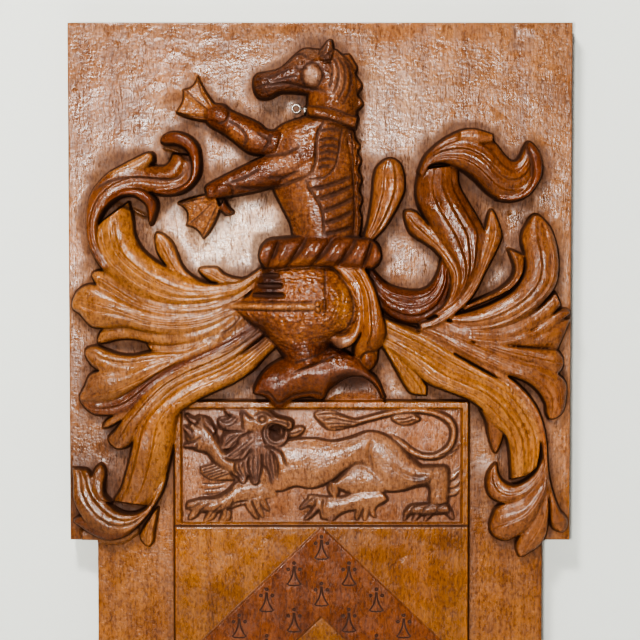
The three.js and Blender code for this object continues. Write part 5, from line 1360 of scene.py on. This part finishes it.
def thinned(mesh, triangles):
    def setRatio(modifier):
        modifier.ratio = min(1.0, triangles / len(mesh.polygons))

    result = remade(mesh, "sheetRig", "DECIMATE", setRatio)
    result.calc_loop_triangles()
    coords = np.empty(len(result.vertices) * 3, dtype=np.float32)
    result.vertices.foreach_get("co", coords)
    faces = np.empty(len(result.loop_triangles) * 3, dtype=np.int32)
    result.loop_triangles.foreach_get("vertices", faces)
    return coords.reshape(-1, 3), faces.reshape(-1, 3)


def closedBehind(coords, faces):
    # the open edge of the sheet runs back to the wall in rings, and a flat back closes it
    edges = np.concatenate([faces[:, [0, 1]], faces[:, [1, 2]], faces[:, [2, 0]]]).astype(np.int64)
    size = len(coords)
    keys = edges[:, 0] * size + edges[:, 1]
    opposite = edges[:, 1] * size + edges[:, 0]
    rim = edges[~np.isin(keys, opposite)]
    following = dict(rim.tolist())
    loop = [int(rim[0, 0])]
    while following[loop[-1]] != loop[0]:
        loop.append(following[loop[-1]])
    print("  rim of", len(loop), "points, open edges", len(rim))
    loop = np.array(loop)
    allCoords, allFaces = [coords], [faces]
    before = loop
    start = size
    for share in sheet["sides"]:
        ring = coords[loop].copy()
        ring[:, 1] *= 1 - share
        allCoords.append(ring)
        now = np.arange(start, start + len(loop))
        start += len(loop)
        i, j = before, np.roll(before, -1)
        k, m = now, np.roll(now, -1)
        allFaces.append(np.stack([j, i, k], axis=1))
        allFaces.append(np.stack([j, k, m], axis=1))
        before = now
    flat = [Vector((float(x), float(z), 0.0)) for x, _, z in coords[loop]]
    cap = np.array(tessellate_polygon([flat]))
    a, b, c = (np.array([flat[i] for i in cap[:, n]]) for n in range(3))
    area = (b[:, 0] - a[:, 0]) * (c[:, 1] - a[:, 1]) - (b[:, 1] - a[:, 1]) * (c[:, 0] - a[:, 0])
    cap = np.where((area > 0)[:, None], cap[:, ::-1], cap)
    allFaces.append(before[cap])
    return np.concatenate(allCoords), np.concatenate(allFaces)


# dirt and painted shade in the hollows, and ridges painted lighter as wear and as painted highlight
def highestNear(values, radius):
    n = max(1, int(round(radius / mapCell)))
    for axis in (0, 1):
        out = values.copy()
        for shift in range(1, n + 1):
            for way in (shift, -shift):
                out = np.maximum(out, np.roll(values, way, axis=axis))
        values = out
    return values


crestGroups = (
    # how plainly the gouge cuts show on each, and its weight when the sheet is thinned
    (helmetMap, 0.8, 1.6),
    (horseMap, 0.5, 1.3),
    (torseMap, 0.3, 0.9),
    (lionMap, 0.16, 2.6),
)
toolShares = {"ground": 0.03, "leaf": 0.14, "gorget": 0.2, "visorBar": 0.1, "shield": 0.02}
weights = {"ground": 0.8, "leaf": 0.38, "shield": 1.2, "ermine": 3.0, "chief": 2.6, "chiefEdge": 4.0}
shadeLightAndDirt = {  # lengths in millimetres
    "footReach": 0.5,  # dirt and painted shade gather this near a rise
    "footRise": 2.2,
    "footMost": 0.85,
    "chiefReach": 1.5,  # and further out on the sunk chief, where the lion is low
    "chiefLeast": 0.4,
    "chiefRise": 0.8,
    "ridgeWidth": 1.6,
    "ridgeRise": 1.1,
    "hollowWidth": 7.0,
    "hollowDepth": 12.0,
    "steepFrom": 1.4,  # slopes this steep are painted darker as shade
    "steepRange": 3.0,
    "steepShade": 0.25,
    "blur": 0.35,
}
onLeaf = leafMap > heightMap - 3
toolMap = newMap(toolShares["ground"])
toolMap[onLeaf] = toolShares["leaf"]
for group, strength, _ in crestGroups:
    toolMap[onlyWhere(group)] = strength
onHelmet = onlyWhere(helmetMap)
toolMap[onHelmet & (gz < toZ(78))] = toolShares["gorget"]
toolMap[onHelmet & (np.abs(gz - toZ(135)) < 6) & (gx < toX(4))] = toolShares["visorBar"]
toolMap[shieldMask & ~chiefMask & (leafMap < heightMap - 3)] = toolShares["shield"]
toolMap = smooth(toolMap, 1.5)
surface = smooth(heightMap, shadeLightAndDirt["blur"]) - arrisDrop()
surface += (sheet["planing"] * wander(51, (42, 26), surface.shape)).astype(np.float32)
# dirt and painted shade at the foot of every rise, further out on the sunk chief
rise = highestNear(surface, shadeLightAndDirt["footReach"]) - surface
foot = shadeLightAndDirt["footMost"] * np.clip(rise / shadeLightAndDirt["footRise"], 0, 1) ** 1.5
onChief = chiefMask & (leafMap < 1)
chiefEdge = smooth(chiefMask.astype(np.float32), 2.0)
rise = highestNear(surface, shadeLightAndDirt["chiefReach"]) - surface
chiefFoot = np.clip((rise - shadeLightAndDirt["chiefLeast"]) / shadeLightAndDirt["chiefRise"], 0, 1)
foot = np.where(onChief, np.clip(3.0 * chiefEdge - 2.0, 0.2, 1) * chiefFoot, foot)
foot = smooth(foot, shadeLightAndDirt["blur"])
# ridges are painted lighter, as wear and as painted highlight
ridge = np.clip((surface - smooth(surface, shadeLightAndDirt["ridgeWidth"])) / shadeLightAndDirt["ridgeRise"], 0, 1)
fineHollow = np.where(foot > 0.02, foot, -ridge)
# broad hollows are painted darker, as dirt and painted shade
wideHollow = np.clip((smooth(surface, shadeLightAndDirt["hollowWidth"]) - surface) / shadeLightAndDirt["hollowDepth"], 0, 1)
# steep slopes are painted darker as shade
slope = np.hypot(*np.gradient(surface, mapCell))
steep = np.clip((slope - shadeLightAndDirt["steepFrom"]) / shadeLightAndDirt["steepRange"], 0, 1)
dirtAndShadeMap = np.maximum(dirtAndShadeMap, (shadeLightAndDirt["steepShade"] * steep).astype(np.float32))

# the sheet is thinned by its form and its dirt and painted shade together, then laid back on the true form;
# low and fine carving counts for more than the big leaves
weight = newMap(weights["ground"])
weight[onLeaf] = weights["leaf"]
weight[shieldMask] = weights["shield"]
weight[onBand & (smooth(dirtAndShadeMap, 1.5) > 0.02)] = weights["ermine"]
weight[onChief] = weights["chief"]
weight[shieldMask & (np.abs(gz - chiefBottom) < 3)] = weights["chiefEdge"]
for group, _, share in crestGroups:
    weight[onlyWhere(group)] = share
guide = smooth(weight, 1.0) * (surface + sheet["dirtAndShadeShare"] * (dirtAndShadeMap + fineHollow))
sheetCoords, sheetFaces = thinned(panelSheet(guide), sheet["triangles"])
relief = sampled(surface, sheetCoords[:, 0] / mm, sheetCoords[:, 2] / mm)
sheetCoords[:, 1] = -(board["thickness"] + relief) * mm
panelCoords, panelFaces = closedBehind(sheetCoords, sheetFaces)
panelMesh = meshOf("carvedPanel", panelCoords, panelFaces)
print("  triangles", len(panelFaces))

print("hollows and tints")
at = panelCoords / mm
onFront = at[:, 1] < -board["thickness"] * 0.9
measures = {"fineHollow": fineHollow, "wideHollow": wideHollow, "dirtAndShade": dirtAndShadeMap, "tooled": toolMap}
for name, values in measures.items():
    value = np.where(onFront, sampled(values, at[:, 0], at[:, 2]), 0)
    attribute = panelMesh.attributes.new(name, "FLOAT", "POINT")
    attribute.data.foreach_set("value", value.astype(np.float32))
tint = np.ones((len(at), 4), dtype=np.float32)
for channel in range(3):
    seen = sampled(smooth(tintMaps[channel], 1.0), at[:, 0], at[:, 2])
    tint[:, channel] = np.where(onFront, seen, oakColours["strip"][channel] * sheet["sideShade"])
attribute = panelMesh.attributes.new("tint", "FLOAT_COLOR", "POINT")
attribute.data.foreach_set("color", tint.ravel())

panel = newObject("carvedPanel", panelMesh)
panelMesh.shade_smooth()
panelMesh.set_sharp_from_angle(angle=math.radians(sheet["sharpAngle"]))

# materials
print("materials")


class Signal:
    # what comes out of a node, to be reckoned with like a number
    def __init__(self, n, socket):
        self.n = n
        self.socket = socket

    def __add__(self, other):
        return self.n.math("ADD", self, other)

    def __sub__(self, other):
        return self.n.math("SUBTRACT", self, other)

    def __rsub__(self, other):
        return self.n.math("SUBTRACT", other, self)

    def __mul__(self, other):
        return self.n.math("MULTIPLY", self, other)

    def __truediv__(self, other):
        return self.n.math("DIVIDE", self, other)

    def __pow__(self, other):
        return self.n.math("POWER", self, other)

    def __abs__(self):
        return self.n.math("ABSOLUTE", self)


class Nodes:
    # a little help to add and join nodes in one material
    def __init__(self, name):
        self.material = bpy.data.materials.new(name)
        self.material.use_nodes = True
        self.tree = self.material.node_tree
        self.tree.nodes.clear()
        self.output = self.add("ShaderNodeOutputMaterial")
        self.shader = self.add("ShaderNodeBsdfPrincipled")
        self.join(self.shader.outputs["BSDF"], self.output.inputs["Surface"])
        self.place = self.add("ShaderNodeTexCoord").outputs["Object"]

    def join(self, source, target):
        # a source is a number, a colour or what comes out of another node
        if isinstance(source, (int, float, tuple)):
            target.default_value = source
        else:
            self.tree.links.new(source.socket if isinstance(source, Signal) else source, target)

    def joinAll(self, sources, node):
        for key, source in sources.items():
            self.join(source, node.inputs[key])

    def add(self, kind, **settings):
        node = self.tree.nodes.new(kind)
        for key, value in settings.items():
            setattr(node, key, value)
        return node

    def out(self, output, kind, sources, **settings):
        node = self.add(kind, **settings)
        self.joinAll(sources, node)
        return Signal(self, node.outputs[output])

    def math(self, operation, a, b=0.0, clamp=False):
        return self.out(0, "ShaderNodeMath", {0: a, 1: b}, operation=operation, use_clamp=clamp)

    def axes(self):
        node = self.add("ShaderNodeSeparateXYZ")
        self.join(self.place, node.inputs[0])
        return [Signal(self, node.outputs[axis]) for axis in "XYZ"]

    def mix(self, factor, a, b, blend="MIX"):
        sources = {"Factor": factor, "A": a, "B": b}
        return self.out("Result", "ShaderNodeMix", sources, data_type="RGBA", blend_type=blend)

    def stretched(self, scale, turn=(0, 0, 0), vector=None):
        sources = {"Vector": vector or self.place, "Scale": scale, "Rotation": turn}
        return self.out("Vector", "ShaderNodeMapping", sources)

    def noise(self, vector, scale, detail=3.0, rough=0.55, output="Fac"):
        sources = {"Vector": vector, "Scale": scale, "Detail": detail, "Roughness": rough}
        return self.out(output, "ShaderNodeTexNoise", sources)

    def ramp(self, value, low, high, toLow=0.0, toHigh=1.0):
        sources = {"Value": value, "From Min": low, "From Max": high, "To Min": toLow, "To Max": toHigh}
        return self.out("Result", "ShaderNodeMapRange", sources, interpolation_type="SMOOTHSTEP")

    def attribute(self, name, output="Fac"):
        return self.out(output, "ShaderNodeAttribute", {}, attribute_name=name)

    def bump(self, height, strength, distance, below=None):
        sources = {"Height": height, "Strength": strength, "Distance": distance}
        if below:
            sources["Normal"] = below
        return self.out("Normal", "ShaderNodeBump", sources)

    def finish(self, sources):
        self.joinAll(sources, self.shader)
        return self.material


oak = {
    # how many to a metre
    "poresAcross": 1300.0,
    "poresAlong": 130.0,
    "poreZones": 70.0,
    "streaks": 55.0,
    "fibres": 480.0,
    "mottle": 330.0,
    "patina": 11.0,
    "toolMark": 150.0,
    "toolWobble": 60.0,
    "toolBend": (0.008, 0.008, 0.008),
    "planeMark": 52.0,
    "scraped": 42.0,
    "scrapedZones": 9.0,
    "sheen": 46.0,
    # scales along the grain, where they are 1 across it
    "streakStretch": 0.05,
    "mottleStretch": 0.5,
    # depths in metres
    "toolDepth": 0.0011,
    "planeDepth": 0.0006,
    "scrapedDepth": 0.0007,
    "mottleDepth": 0.0004,
    "fibreDepth": 0.00018,
    "poreDepth": 0.0002,
    "roughness": (0.17, 0.34),
    "grimeAndShadeRoughness": 0.55,
    "poreRoughness": 0.3,
    "specular": 0.36,
    # how strongly each of these colours the wood at most
    "poreStrength": 0.6,
    "dirtAndShadeStrength": 0.88,
    "wornAndLitStrength": 0.6,
    "ermineStrength": 0.95,
    "creaseStrength": 0.7,
}
shades = {
    "pore": (0.03, 0.012, 0.005, 1),
    # the dark of dirt and of painted shade
    "grimeAndShade": (0.035, 0.01, 0.003, 1),
    "ermine": (0.03, 0.009, 0.003, 1),
    # these multiply the colour below them
    # ridges: wear and painted highlight
    "wornAndLit": (1.6, 1.5, 1.4, 1),
    "crease": (0.42, 0.3, 0.24, 1),
    "darkStreak": (0.6, 0.5, 0.42, 1),
    "palePatina": (1.22, 1.1, 0.98, 1),
    "darkPatina": (0.55, 0.45, 0.4, 1),
    "paleMottle": (1.3, 1.25, 1.2, 1),
    "darkMottle": (0.5, 0.4, 0.34, 1),
    "fibre": (0.6, 0.52, 0.46, 1),
}


def ermineLines(n):
    # the dark cut outline of every ermine spot, from the place on the panel in millimetres
    x, y, z = (axis * 1000.0 for axis in n.axes())
    pitch, slope = chevron["pitch"], chevron["slope"]
    firstRow, secondRow = chevron["rows"]
    rowGap = secondRow - firstRow
    aside = abs(x - apexX)
    number = n.math("MINIMUM", n.math("ROUND", aside / pitch), chevron["onArm"])
    across = abs(aside - number * pitch)
    down = apexZ - number * (pitch * slope) - z
    down = down - firstRow - n.math("GREATER_THAN", down, firstRow + rowGap * 0.7) * rowGap

    def away(a, b):
        return n.math("SQRT", a * a + b * b)

    dots = n.math("MINIMUM", away(across, down), away(across - ermine["dotAside"], down - ermine["dotDrop"]))
    rings = abs(dots - ermine["dot"] * 0.6)
    start = ermine["stemTop"]
    along = n.math("DIVIDE", down - start, ermine["tall"] - start, True)
    half = along ** ermine["flare"] * (ermine["foot"] - ermine["stem"]) + ermine["stem"]
    share = across / ermine["foot"]
    waves = n.math("COSINE", share * (2 * math.pi)) * ermine["hemWave"] + 1.0
    hem = ermine["tall"] - share * waves * ermine["hem"]
    beside = (across - half) / (along * 0.4 + 1.0)
    outside = n.math("MAXIMUM", n.math("MAXIMUM", beside, down - hem), start - down)
    line = n.ramp(n.math("MINIMUM", rings, abs(outside)), 1.25, 0.55)
    drop = apexZ - aside * slope - z
    below = n.math("GREATER_THAN", drop, ermine["inside"])
    above = n.math("LESS_THAN", drop, bandDrop - ermine["inside"])
    front = n.math("LESS_THAN", y, -board["thickness"])
    return line * (below * above) * front


def makeOak():
    n = Nodes("waxedOak")
    pores = n.noise(n.stretched((1, 1, oak["poresAlong"] / oak["poresAcross"])), oak["poresAcross"], 2.0, 0.5)
    poreZones = n.ramp(n.noise(n.stretched((1, 1, 0.15)), oak["poreZones"], 2.0), 0.35, 0.6)
    pores = n.ramp(pores, 0.57, 0.7) * poreZones
    streaks = n.noise(n.stretched((1, 1, oak["streakStretch"])), oak["streaks"], 5.0, 0.65)
    fibres = n.noise(n.stretched((1, 1, oak["streakStretch"])), oak["fibres"], 3.0, 0.6)
    mottle = n.noise(n.stretched((1, 1, oak["mottleStretch"])), oak["mottle"], 4.0, 0.62)
    patina = n.noise(n.place, oak["patina"], 5.0, 0.6)
    hollow = n.attribute("fineHollow")
    wide = n.attribute("wideHollow")
    tooled = n.attribute("tooled")

    colour = n.attribute("tint", "Color")
    for pattern, low, high, strength, shade in (
        # a shade comes in where the pattern goes from low to high
        (streaks, 0.35, 0.65, 0.6, "darkStreak"),
        (patina, 0.45, 0.75, 0.6, "palePatina"),
        (patina, 0.52, 0.28, 0.55, "darkPatina"),
        (mottle, 0.48, 0.68, 0.75, "paleMottle"),
        (mottle, 0.52, 0.34, 0.8, "darkMottle"),
        (fibres, 0.4, 0.65, 0.35, "fibre"),
    ):
        colour = n.mix(n.ramp(pattern, low, high, 0.0, strength), colour, shades[shade], "MULTIPLY")
    colour = n.mix(pores * oak["poreStrength"], colour, shades["pore"])
    # dirt and painted shade: at the foot of rises, in broad hollows, in the cut lines and slots and on steep
    # slopes
    grimeAndShade = n.ramp(hollow, 0.03, 0.9, 0.0, 0.92)
    grimeAndShade = n.math("ADD", grimeAndShade, n.ramp(wide, 0.04, 0.65, 0.0, 0.62), clamp=True)
    grimeAndShade = n.math("MAXIMUM", grimeAndShade, n.attribute("dirtAndShade"), clamp=True)
    colour = n.mix(grimeAndShade * oak["dirtAndShadeStrength"], colour, shades["grimeAndShade"])
    # ridges are lighter, as wear and as painted highlight
    wornAndLit = n.ramp(hollow * -1.0, 0.1, 0.7) * oak["wornAndLitStrength"]
    colour = n.mix(wornAndLit, colour, shades["wornAndLit"], "MULTIPLY")
    spots = ermineLines(n)
    colour = n.mix(spots * oak["ermineStrength"], colour, shades["ermine"])

    # gouge cuts are shallow scoops with crisp ridges between them
    wobble = n.noise(n.place, oak["toolWobble"], 2.0, 0.5, "Color")
    sources = {0: wobble, 1: oak["toolBend"], 2: n.place}
    bent = n.out(0, "ShaderNodeVectorMath", sources, operation="MULTIPLY_ADD")
    sources = {"Vector": n.stretched((1.0, 1.0, 1.9), vector=bent), "Scale": oak["toolMark"]}
    cells = n.out("Distance", "ShaderNodeTexVoronoi", sources, feature="F1")
    creases = n.ramp(cells, 0.4, 0.68) * tooled
    colour = n.mix(creases * oak["creaseStrength"], colour, shades["crease"], "MULTIPLY")

    rough = n.ramp(n.noise(n.place, oak["sheen"], 5.0, 0.65), 0.3, 0.7, *oak["roughness"])
    rough = n.math("ADD", rough, n.math("MAXIMUM", grimeAndShade, spots) * oak["grimeAndShadeRoughness"], clamp=True)
    rough = n.math("ADD", rough, pores * oak["poreRoughness"], clamp=True)

    planed = n.noise(n.stretched((1.0, 1.0, 0.7)), oak["planeMark"], 1.0, 0.5)
    # long flats left by the scraper, aslant and only in some places
    leaning = n.stretched((1.0, 1.0, 1.6), (0, 0.6, 0))
    sources = {"Vector": leaning, "Scale": oak["scraped"], "Smoothness": 0.25}
    flats = n.out("Distance", "ShaderNodeTexVoronoi", sources, feature="SMOOTH_F1")
    zones = n.ramp(n.noise(n.place, oak["scrapedZones"], 2.0), 0.42, 0.6) * n.ramp(n.axes()[2], 0.05, 0.2)
    surface = None
    for height, depth in (
        (planed, oak["planeDepth"]),
        (zones * flats, oak["scrapedDepth"]),
        (tooled * cells, oak["toolDepth"]),
        (mottle, oak["mottleDepth"]),
        (fibres, oak["fibreDepth"]),
        (pores * -1.0, oak["poreDepth"]),
    ):
        surface = n.bump(height, 1.0, depth, surface)
    return n.finish({
        "Base Color": colour, "Roughness": rough, "Specular IOR Level": oak["specular"], "Normal": surface})


metal = {
    # how many to a metre
    "patches": 900.0,
    "spots": 2600.0,
    "spotStrength": 0.5,
    "spotColour": (0.02, 0.012, 0.008, 1),
    "roughness": (0.5, 0.28),  # from the dark patches to the worn ones
    "bump": 0.4,
    "depth": 0.0002,  # metres
}


def makeMetal(name, base, worn):
    n = Nodes(name)
    patches = n.noise(n.place, metal["patches"], 4.0, 0.65)
    spots = n.ramp(n.noise(n.place, metal["spots"], 2.0), 0.5, 0.7)
    colour = n.mix(n.ramp(patches, 0.42, 0.62), base, worn)
    colour = n.mix(spots * metal["spotStrength"], colour, metal["spotColour"])
    rough = n.ramp(patches, 0.35, 0.7, *metal["roughness"])
    surface = n.bump(patches, metal["bump"], metal["depth"])
    return n.finish({"Base Color": colour, "Roughness": rough, "Metallic": 1.0, "Normal": surface})


oakMaterial = makeOak()
ringMaterial = makeMetal("dullIron", (0.2, 0.17, 0.15, 1), (0.6, 0.57, 0.53, 1))
plateMaterial = makeMetal("darkIron", (0.22, 0.19, 0.17, 1), (0.62, 0.58, 0.54, 1))
panelMesh.materials.append(oakMaterial)

# eye ring and its plate: the wire is drawn as a bent rod, the plate as a lathe-turned washer
print("collar metal")
ringLow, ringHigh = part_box("collar_ring")
plateLow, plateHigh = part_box("collar_plate")
ring = {
    "wire": (ringHigh[1] - ringLow[1]) / 2 * 0.98,
    "mean": (ringHigh[2] - ringLow[2]) / 2 - (ringHigh[1] - ringLow[1]) / 2,
    "shankShare": 0.78,  # the shank's radius as a share of the wire's
    "turns": 56,
    "sides": 18,
}


def ringTree():
    # a circle of wire and a straight shank, both swept with a round section
    tree = bpy.data.node_groups.new("eyeRing", "GeometryNodeTree")
    for label in ("Ring radius", "Wire radius", "Shank length"):
        tree.interface.new_socket(label, in_out="INPUT", socket_type="NodeSocketFloat")
    tree.interface.new_socket("Geometry", in_out="OUTPUT", socket_type="NodeSocketGeometry")

    def add(kind, **values):
        node = tree.nodes.new(kind)
        for key, value in values.items():
            node.inputs[key].default_value = value
        return node

    source = add("NodeGroupInput")
    target = add("NodeGroupOutput")
    circle = add("GeometryNodeCurvePrimitiveCircle", Resolution=ring["turns"])
    section = add("GeometryNodeCurvePrimitiveCircle", Resolution=ring["sides"])
    sweep = add("GeometryNodeCurveToMesh")
    upright = add("GeometryNodeTransform", Rotation=(math.pi / 2, 0, 0))
    rod = add("GeometryNodeMeshCylinder", Vertices=ring["sides"])
    turned = add("GeometryNodeTransform", Rotation=(0, math.pi / 2, 0))
    aside = add("ShaderNodeCombineXYZ")
    halfRod = add("ShaderNodeMath")
    halfRod.operation = "MULTIPLY_ADD"
    halfRod.inputs[1].default_value = 0.5
    thin = add("ShaderNodeMath")
    thin.operation = "MULTIPLY"
    thin.inputs[1].default_value = ring["shankShare"]
    both = add("GeometryNodeJoinGeometry")
    real = add("GeometryNodeRealizeInstances")
    smoothFaces = add("GeometryNodeSetShadeSmooth")
    finish = add("GeometryNodeSetMaterial", Material=ringMaterial)
    for fromNode, output, toNode, entry in (
        (source, "Ring radius", circle, "Radius"),
        (source, "Wire radius", section, "Radius"),
        (circle, "Curve", sweep, "Curve"),
        (section, "Curve", sweep, "Profile Curve"),
        (sweep, "Mesh", upright, "Geometry"),
        (source, "Wire radius", thin, 0),
        (thin, 0, rod, "Radius"),
        (source, "Shank length", rod, "Depth"),
        (source, "Shank length", halfRod, 0),
        (source, "Ring radius", halfRod, 2),
        (halfRod, 0, aside, "X"),
        (aside, 0, turned, "Translation"),
        (rod, "Mesh", turned, "Geometry"),
        (upright, "Geometry", both, "Geometry"),
        (turned, "Geometry", both, "Geometry"),
        (both, "Geometry", real, "Geometry"),
        (real, "Geometry", smoothFaces, "Geometry"),
        (smoothFaces, "Geometry", finish, "Geometry"),
        (finish, "Geometry", target, "Geometry"),
    ):
        tree.links.new(fromNode.outputs[output], toNode.inputs[entry])
    return tree


def setRing(modifier):
    modifier.node_group = ringTree()
    shank = ringHigh[0] - ringCentre.x - ring["mean"]
    values = {"Ring radius": ring["mean"], "Wire radius": ring["wire"], "Shank length": shank}
    for item in modifier.node_group.interface.items_tree:
        if item.name in values:
            modifier[item.identifier] = values[item.name]


def placeInMesh(obj, centre):
    for vertex in obj.data.vertices:
        vertex.co = vertex.co + centre
    obj.data.update()


ringCentre = Vector((
    ringLow[0] + ring["mean"] + ring["wire"], (ringLow[1] + ringHigh[1]) / 2, (ringLow[2] + ringHigh[2]) / 2))
ringMesh = remade(bpy.data.meshes.new("ringRig"), "ringRig", "NODES", setRing)
eyeRing = newObject("eyeRing", ringMesh)
placeInMesh(eyeRing, ringCentre)

washer = {
    "turns": 40,
    "sharpAngle": 40,
    # half of the profile from the hole to the rim, as shares of the radius and of half the thickness
    "profile": ((0.27, 0.7), (0.8, 0.75), (0.93, 0.95), (1.0, 0.4)),
}


def lathedPlate():
    # a domed washer with a rolled rim, its axis along x
    radius = (plateHigh[2] - plateLow[2]) / 2
    half = (plateHigh[0] - plateLow[0]) / 2
    profile = [(radius * r, -half * x) for r, x in washer["profile"]]
    profile += [(r, -x) for r, x in profile[::-1]]
    shape = bmesh.new()
    turns = washer["turns"]
    rings = []
    for i in range(turns):
        angle = 2 * math.pi * i / turns
        around, up = math.cos(angle), math.sin(angle)
        rings.append([shape.verts.new((x, r * around, r * up)) for r, x in profile])
    for i in range(turns):
        here, there = rings[i], rings[(i + 1) % turns]
        for j in range(len(profile)):
            k = (j + 1) % len(profile)
            shape.faces.new((here[j], here[k], there[k], there[j]))
    bmesh.ops.recalc_face_normals(shape, faces=shape.faces)
    mesh = bpy.data.meshes.new("collarPlate")
    shape.to_mesh(mesh)
    shape.free()
    mesh.materials.append(plateMaterial)
    mesh.shade_smooth()
    mesh.set_sharp_from_angle(angle=math.radians(washer["sharpAngle"]))
    made = newObject("collarPlate", mesh)
    centre = [(low + high) / 2 for low, high in zip(plateLow, plateHigh)]
    placeInMesh(made, Vector(centre))
    return made


plate = lathedPlate()

for piece, node, slotName in (
    (panel, "carved_panel", "oak"),
    (eyeRing, "collar_ring", "ring_metal"),
    (plate, "collar_plate", "plate_metal"),
):
    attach(piece, "root")
    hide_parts(node)

# studio: a pale wall behind the panel, a pale floor, soft lights and the camera
print("studio")
studio = {
    "wallGap": 0.012,
    "floorBelow": 0.25,
    "wallSize": 6.0,
    "cameraDistance": 2.5,
    "cameraLift": 3.0,  # degrees above the panel's normal
    "frameWidth": 640.0,  # grid steps across the picture
    "aimX": 0.0,
    "aimZ": 120.0,
    "dullness": 0.9,
    "wallTone": (0.62, 0.64, 0.6, 1),
    "floorTone": (0.6, 0.6, 0.58, 1),
    "skyTone": (0.9, 0.93, 1.0, 1),
    "skyStrength": 0.08,
}


def stageSheet(name, corners, tone):
    mesh = bpy.data.meshes.new(name)
    mesh.from_pydata(corners, [], [(0, 1, 2, 3)])
    made = newObject(name, mesh)
    n = Nodes(name)
    # the sheet is clear from behind and lets the light through, so that the panel's back can be looked at
    behind = n.out("Backfacing", "ShaderNodeNewGeometry", {})
    shadow = n.out("Is Shadow Ray", "ShaderNodeLightPath", {})
    clear = n.out(0, "ShaderNodeBsdfTransparent", {})
    through = n.math("MAXIMUM", behind, shadow)
    shaded = n.out(0, "ShaderNodeMixShader", {0: through, 1: n.shader.outputs[0], 2: clear})
    n.join(shaded, n.output.inputs["Surface"])
    mesh.materials.append(n.finish({"Base Color": tone, "Roughness": studio["dullness"]}))
    made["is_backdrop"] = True


span = studio["wallSize"] / 2
floorZ = panelLow[2] - studio["floorBelow"]
wallY = studio["wallGap"]
stageSheet("wall", [
    (-span, wallY, floorZ), (span, wallY, floorZ), (span, wallY, floorZ + studio["wallSize"]),
    (-span, wallY, floorZ + studio["wallSize"])], studio["wallTone"])
stageSheet("floor", [
    (-span, wallY, floorZ), (-span, -studio["wallSize"], floorZ), (span, -studio["wallSize"], floorZ),
    (span, wallY, floorZ)], studio["floorTone"])


def softLight(name, place, aim, size, watts, tone):
    light = bpy.data.lights.new(name, "AREA")
    light.shape = "RECTANGLE"
    light.size, light.size_y = size
    light.energy = watts
    light.color = tone
    made = newObject(name, light)
    made.location = place
    made.rotation_euler = (Vector(aim) - Vector(place)).to_track_quat("-Z", "Y").to_euler()


lamps = {
    # place, aim, size, watts and tone
    "keyAbove": ((-0.45, -1.7, 1.75), (0, 0, 0.1), (0.4, 0.3), 52, (1.0, 0.98, 0.95)),
    "front": ((-0.19, -2.6, 0.24), (0, 0, 0.1), (0.22, 0.2), 60, (1.0, 0.99, 0.97)),
    "fillRight": ((2.6, -1.6, 0.6), (0, 0, 0.1), (1.2, 1.2), 6, (0.95, 0.97, 1.0)),
    "fillLeft": ((-2.6, -1.6, 0.5), (0, 0, 0.1), (1.2, 1.2), 5, (1.0, 0.98, 0.95)),
    "behind": ((-0.9, 2.2, 0.9), (0, 0, 0), (1.0, 1.0), 30, (1.0, 0.98, 0.95)),
}
for name, lamp in lamps.items():
    softLight(name, *lamp)
world = bpy.data.worlds.new("softRoom")
world.use_nodes = True
background = world.node_tree.nodes["Background"]
background.inputs["Color"].default_value = studio["skyTone"]
background.inputs["Strength"].default_value = studio["skyStrength"]
bpy.context.scene.world = world

cameraData = bpy.data.cameras.new("camera")
camera = newObject("camera", cameraData)
aimAt = Vector((
    studio["aimX"] * gridStep * mm, -board["thickness"] * mm, float(toZ(studio["aimZ"])) * mm))
lift = math.radians(studio["cameraLift"])
camera.location = aimAt + studio["cameraDistance"] * Vector((0, -math.cos(lift), math.sin(lift)))
camera.rotation_euler = (aimAt - camera.location).to_track_quat("-Z", "Y").to_euler()
cameraData.sensor_fit = "HORIZONTAL"
cameraData.angle = 2 * math.atan(studio["frameWidth"] * gridStep * mm / 2 / studio["cameraDistance"])
bpy.context.scene.camera = camera

bpy.context.scene.view_settings.look = "AgX - High Contrast"

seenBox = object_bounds()
for label, box in (("CAD size", cadBox), ("visual size", seenBox)):
    print(label, [round(float(high - low), 4) for low, high in zip(*box)])
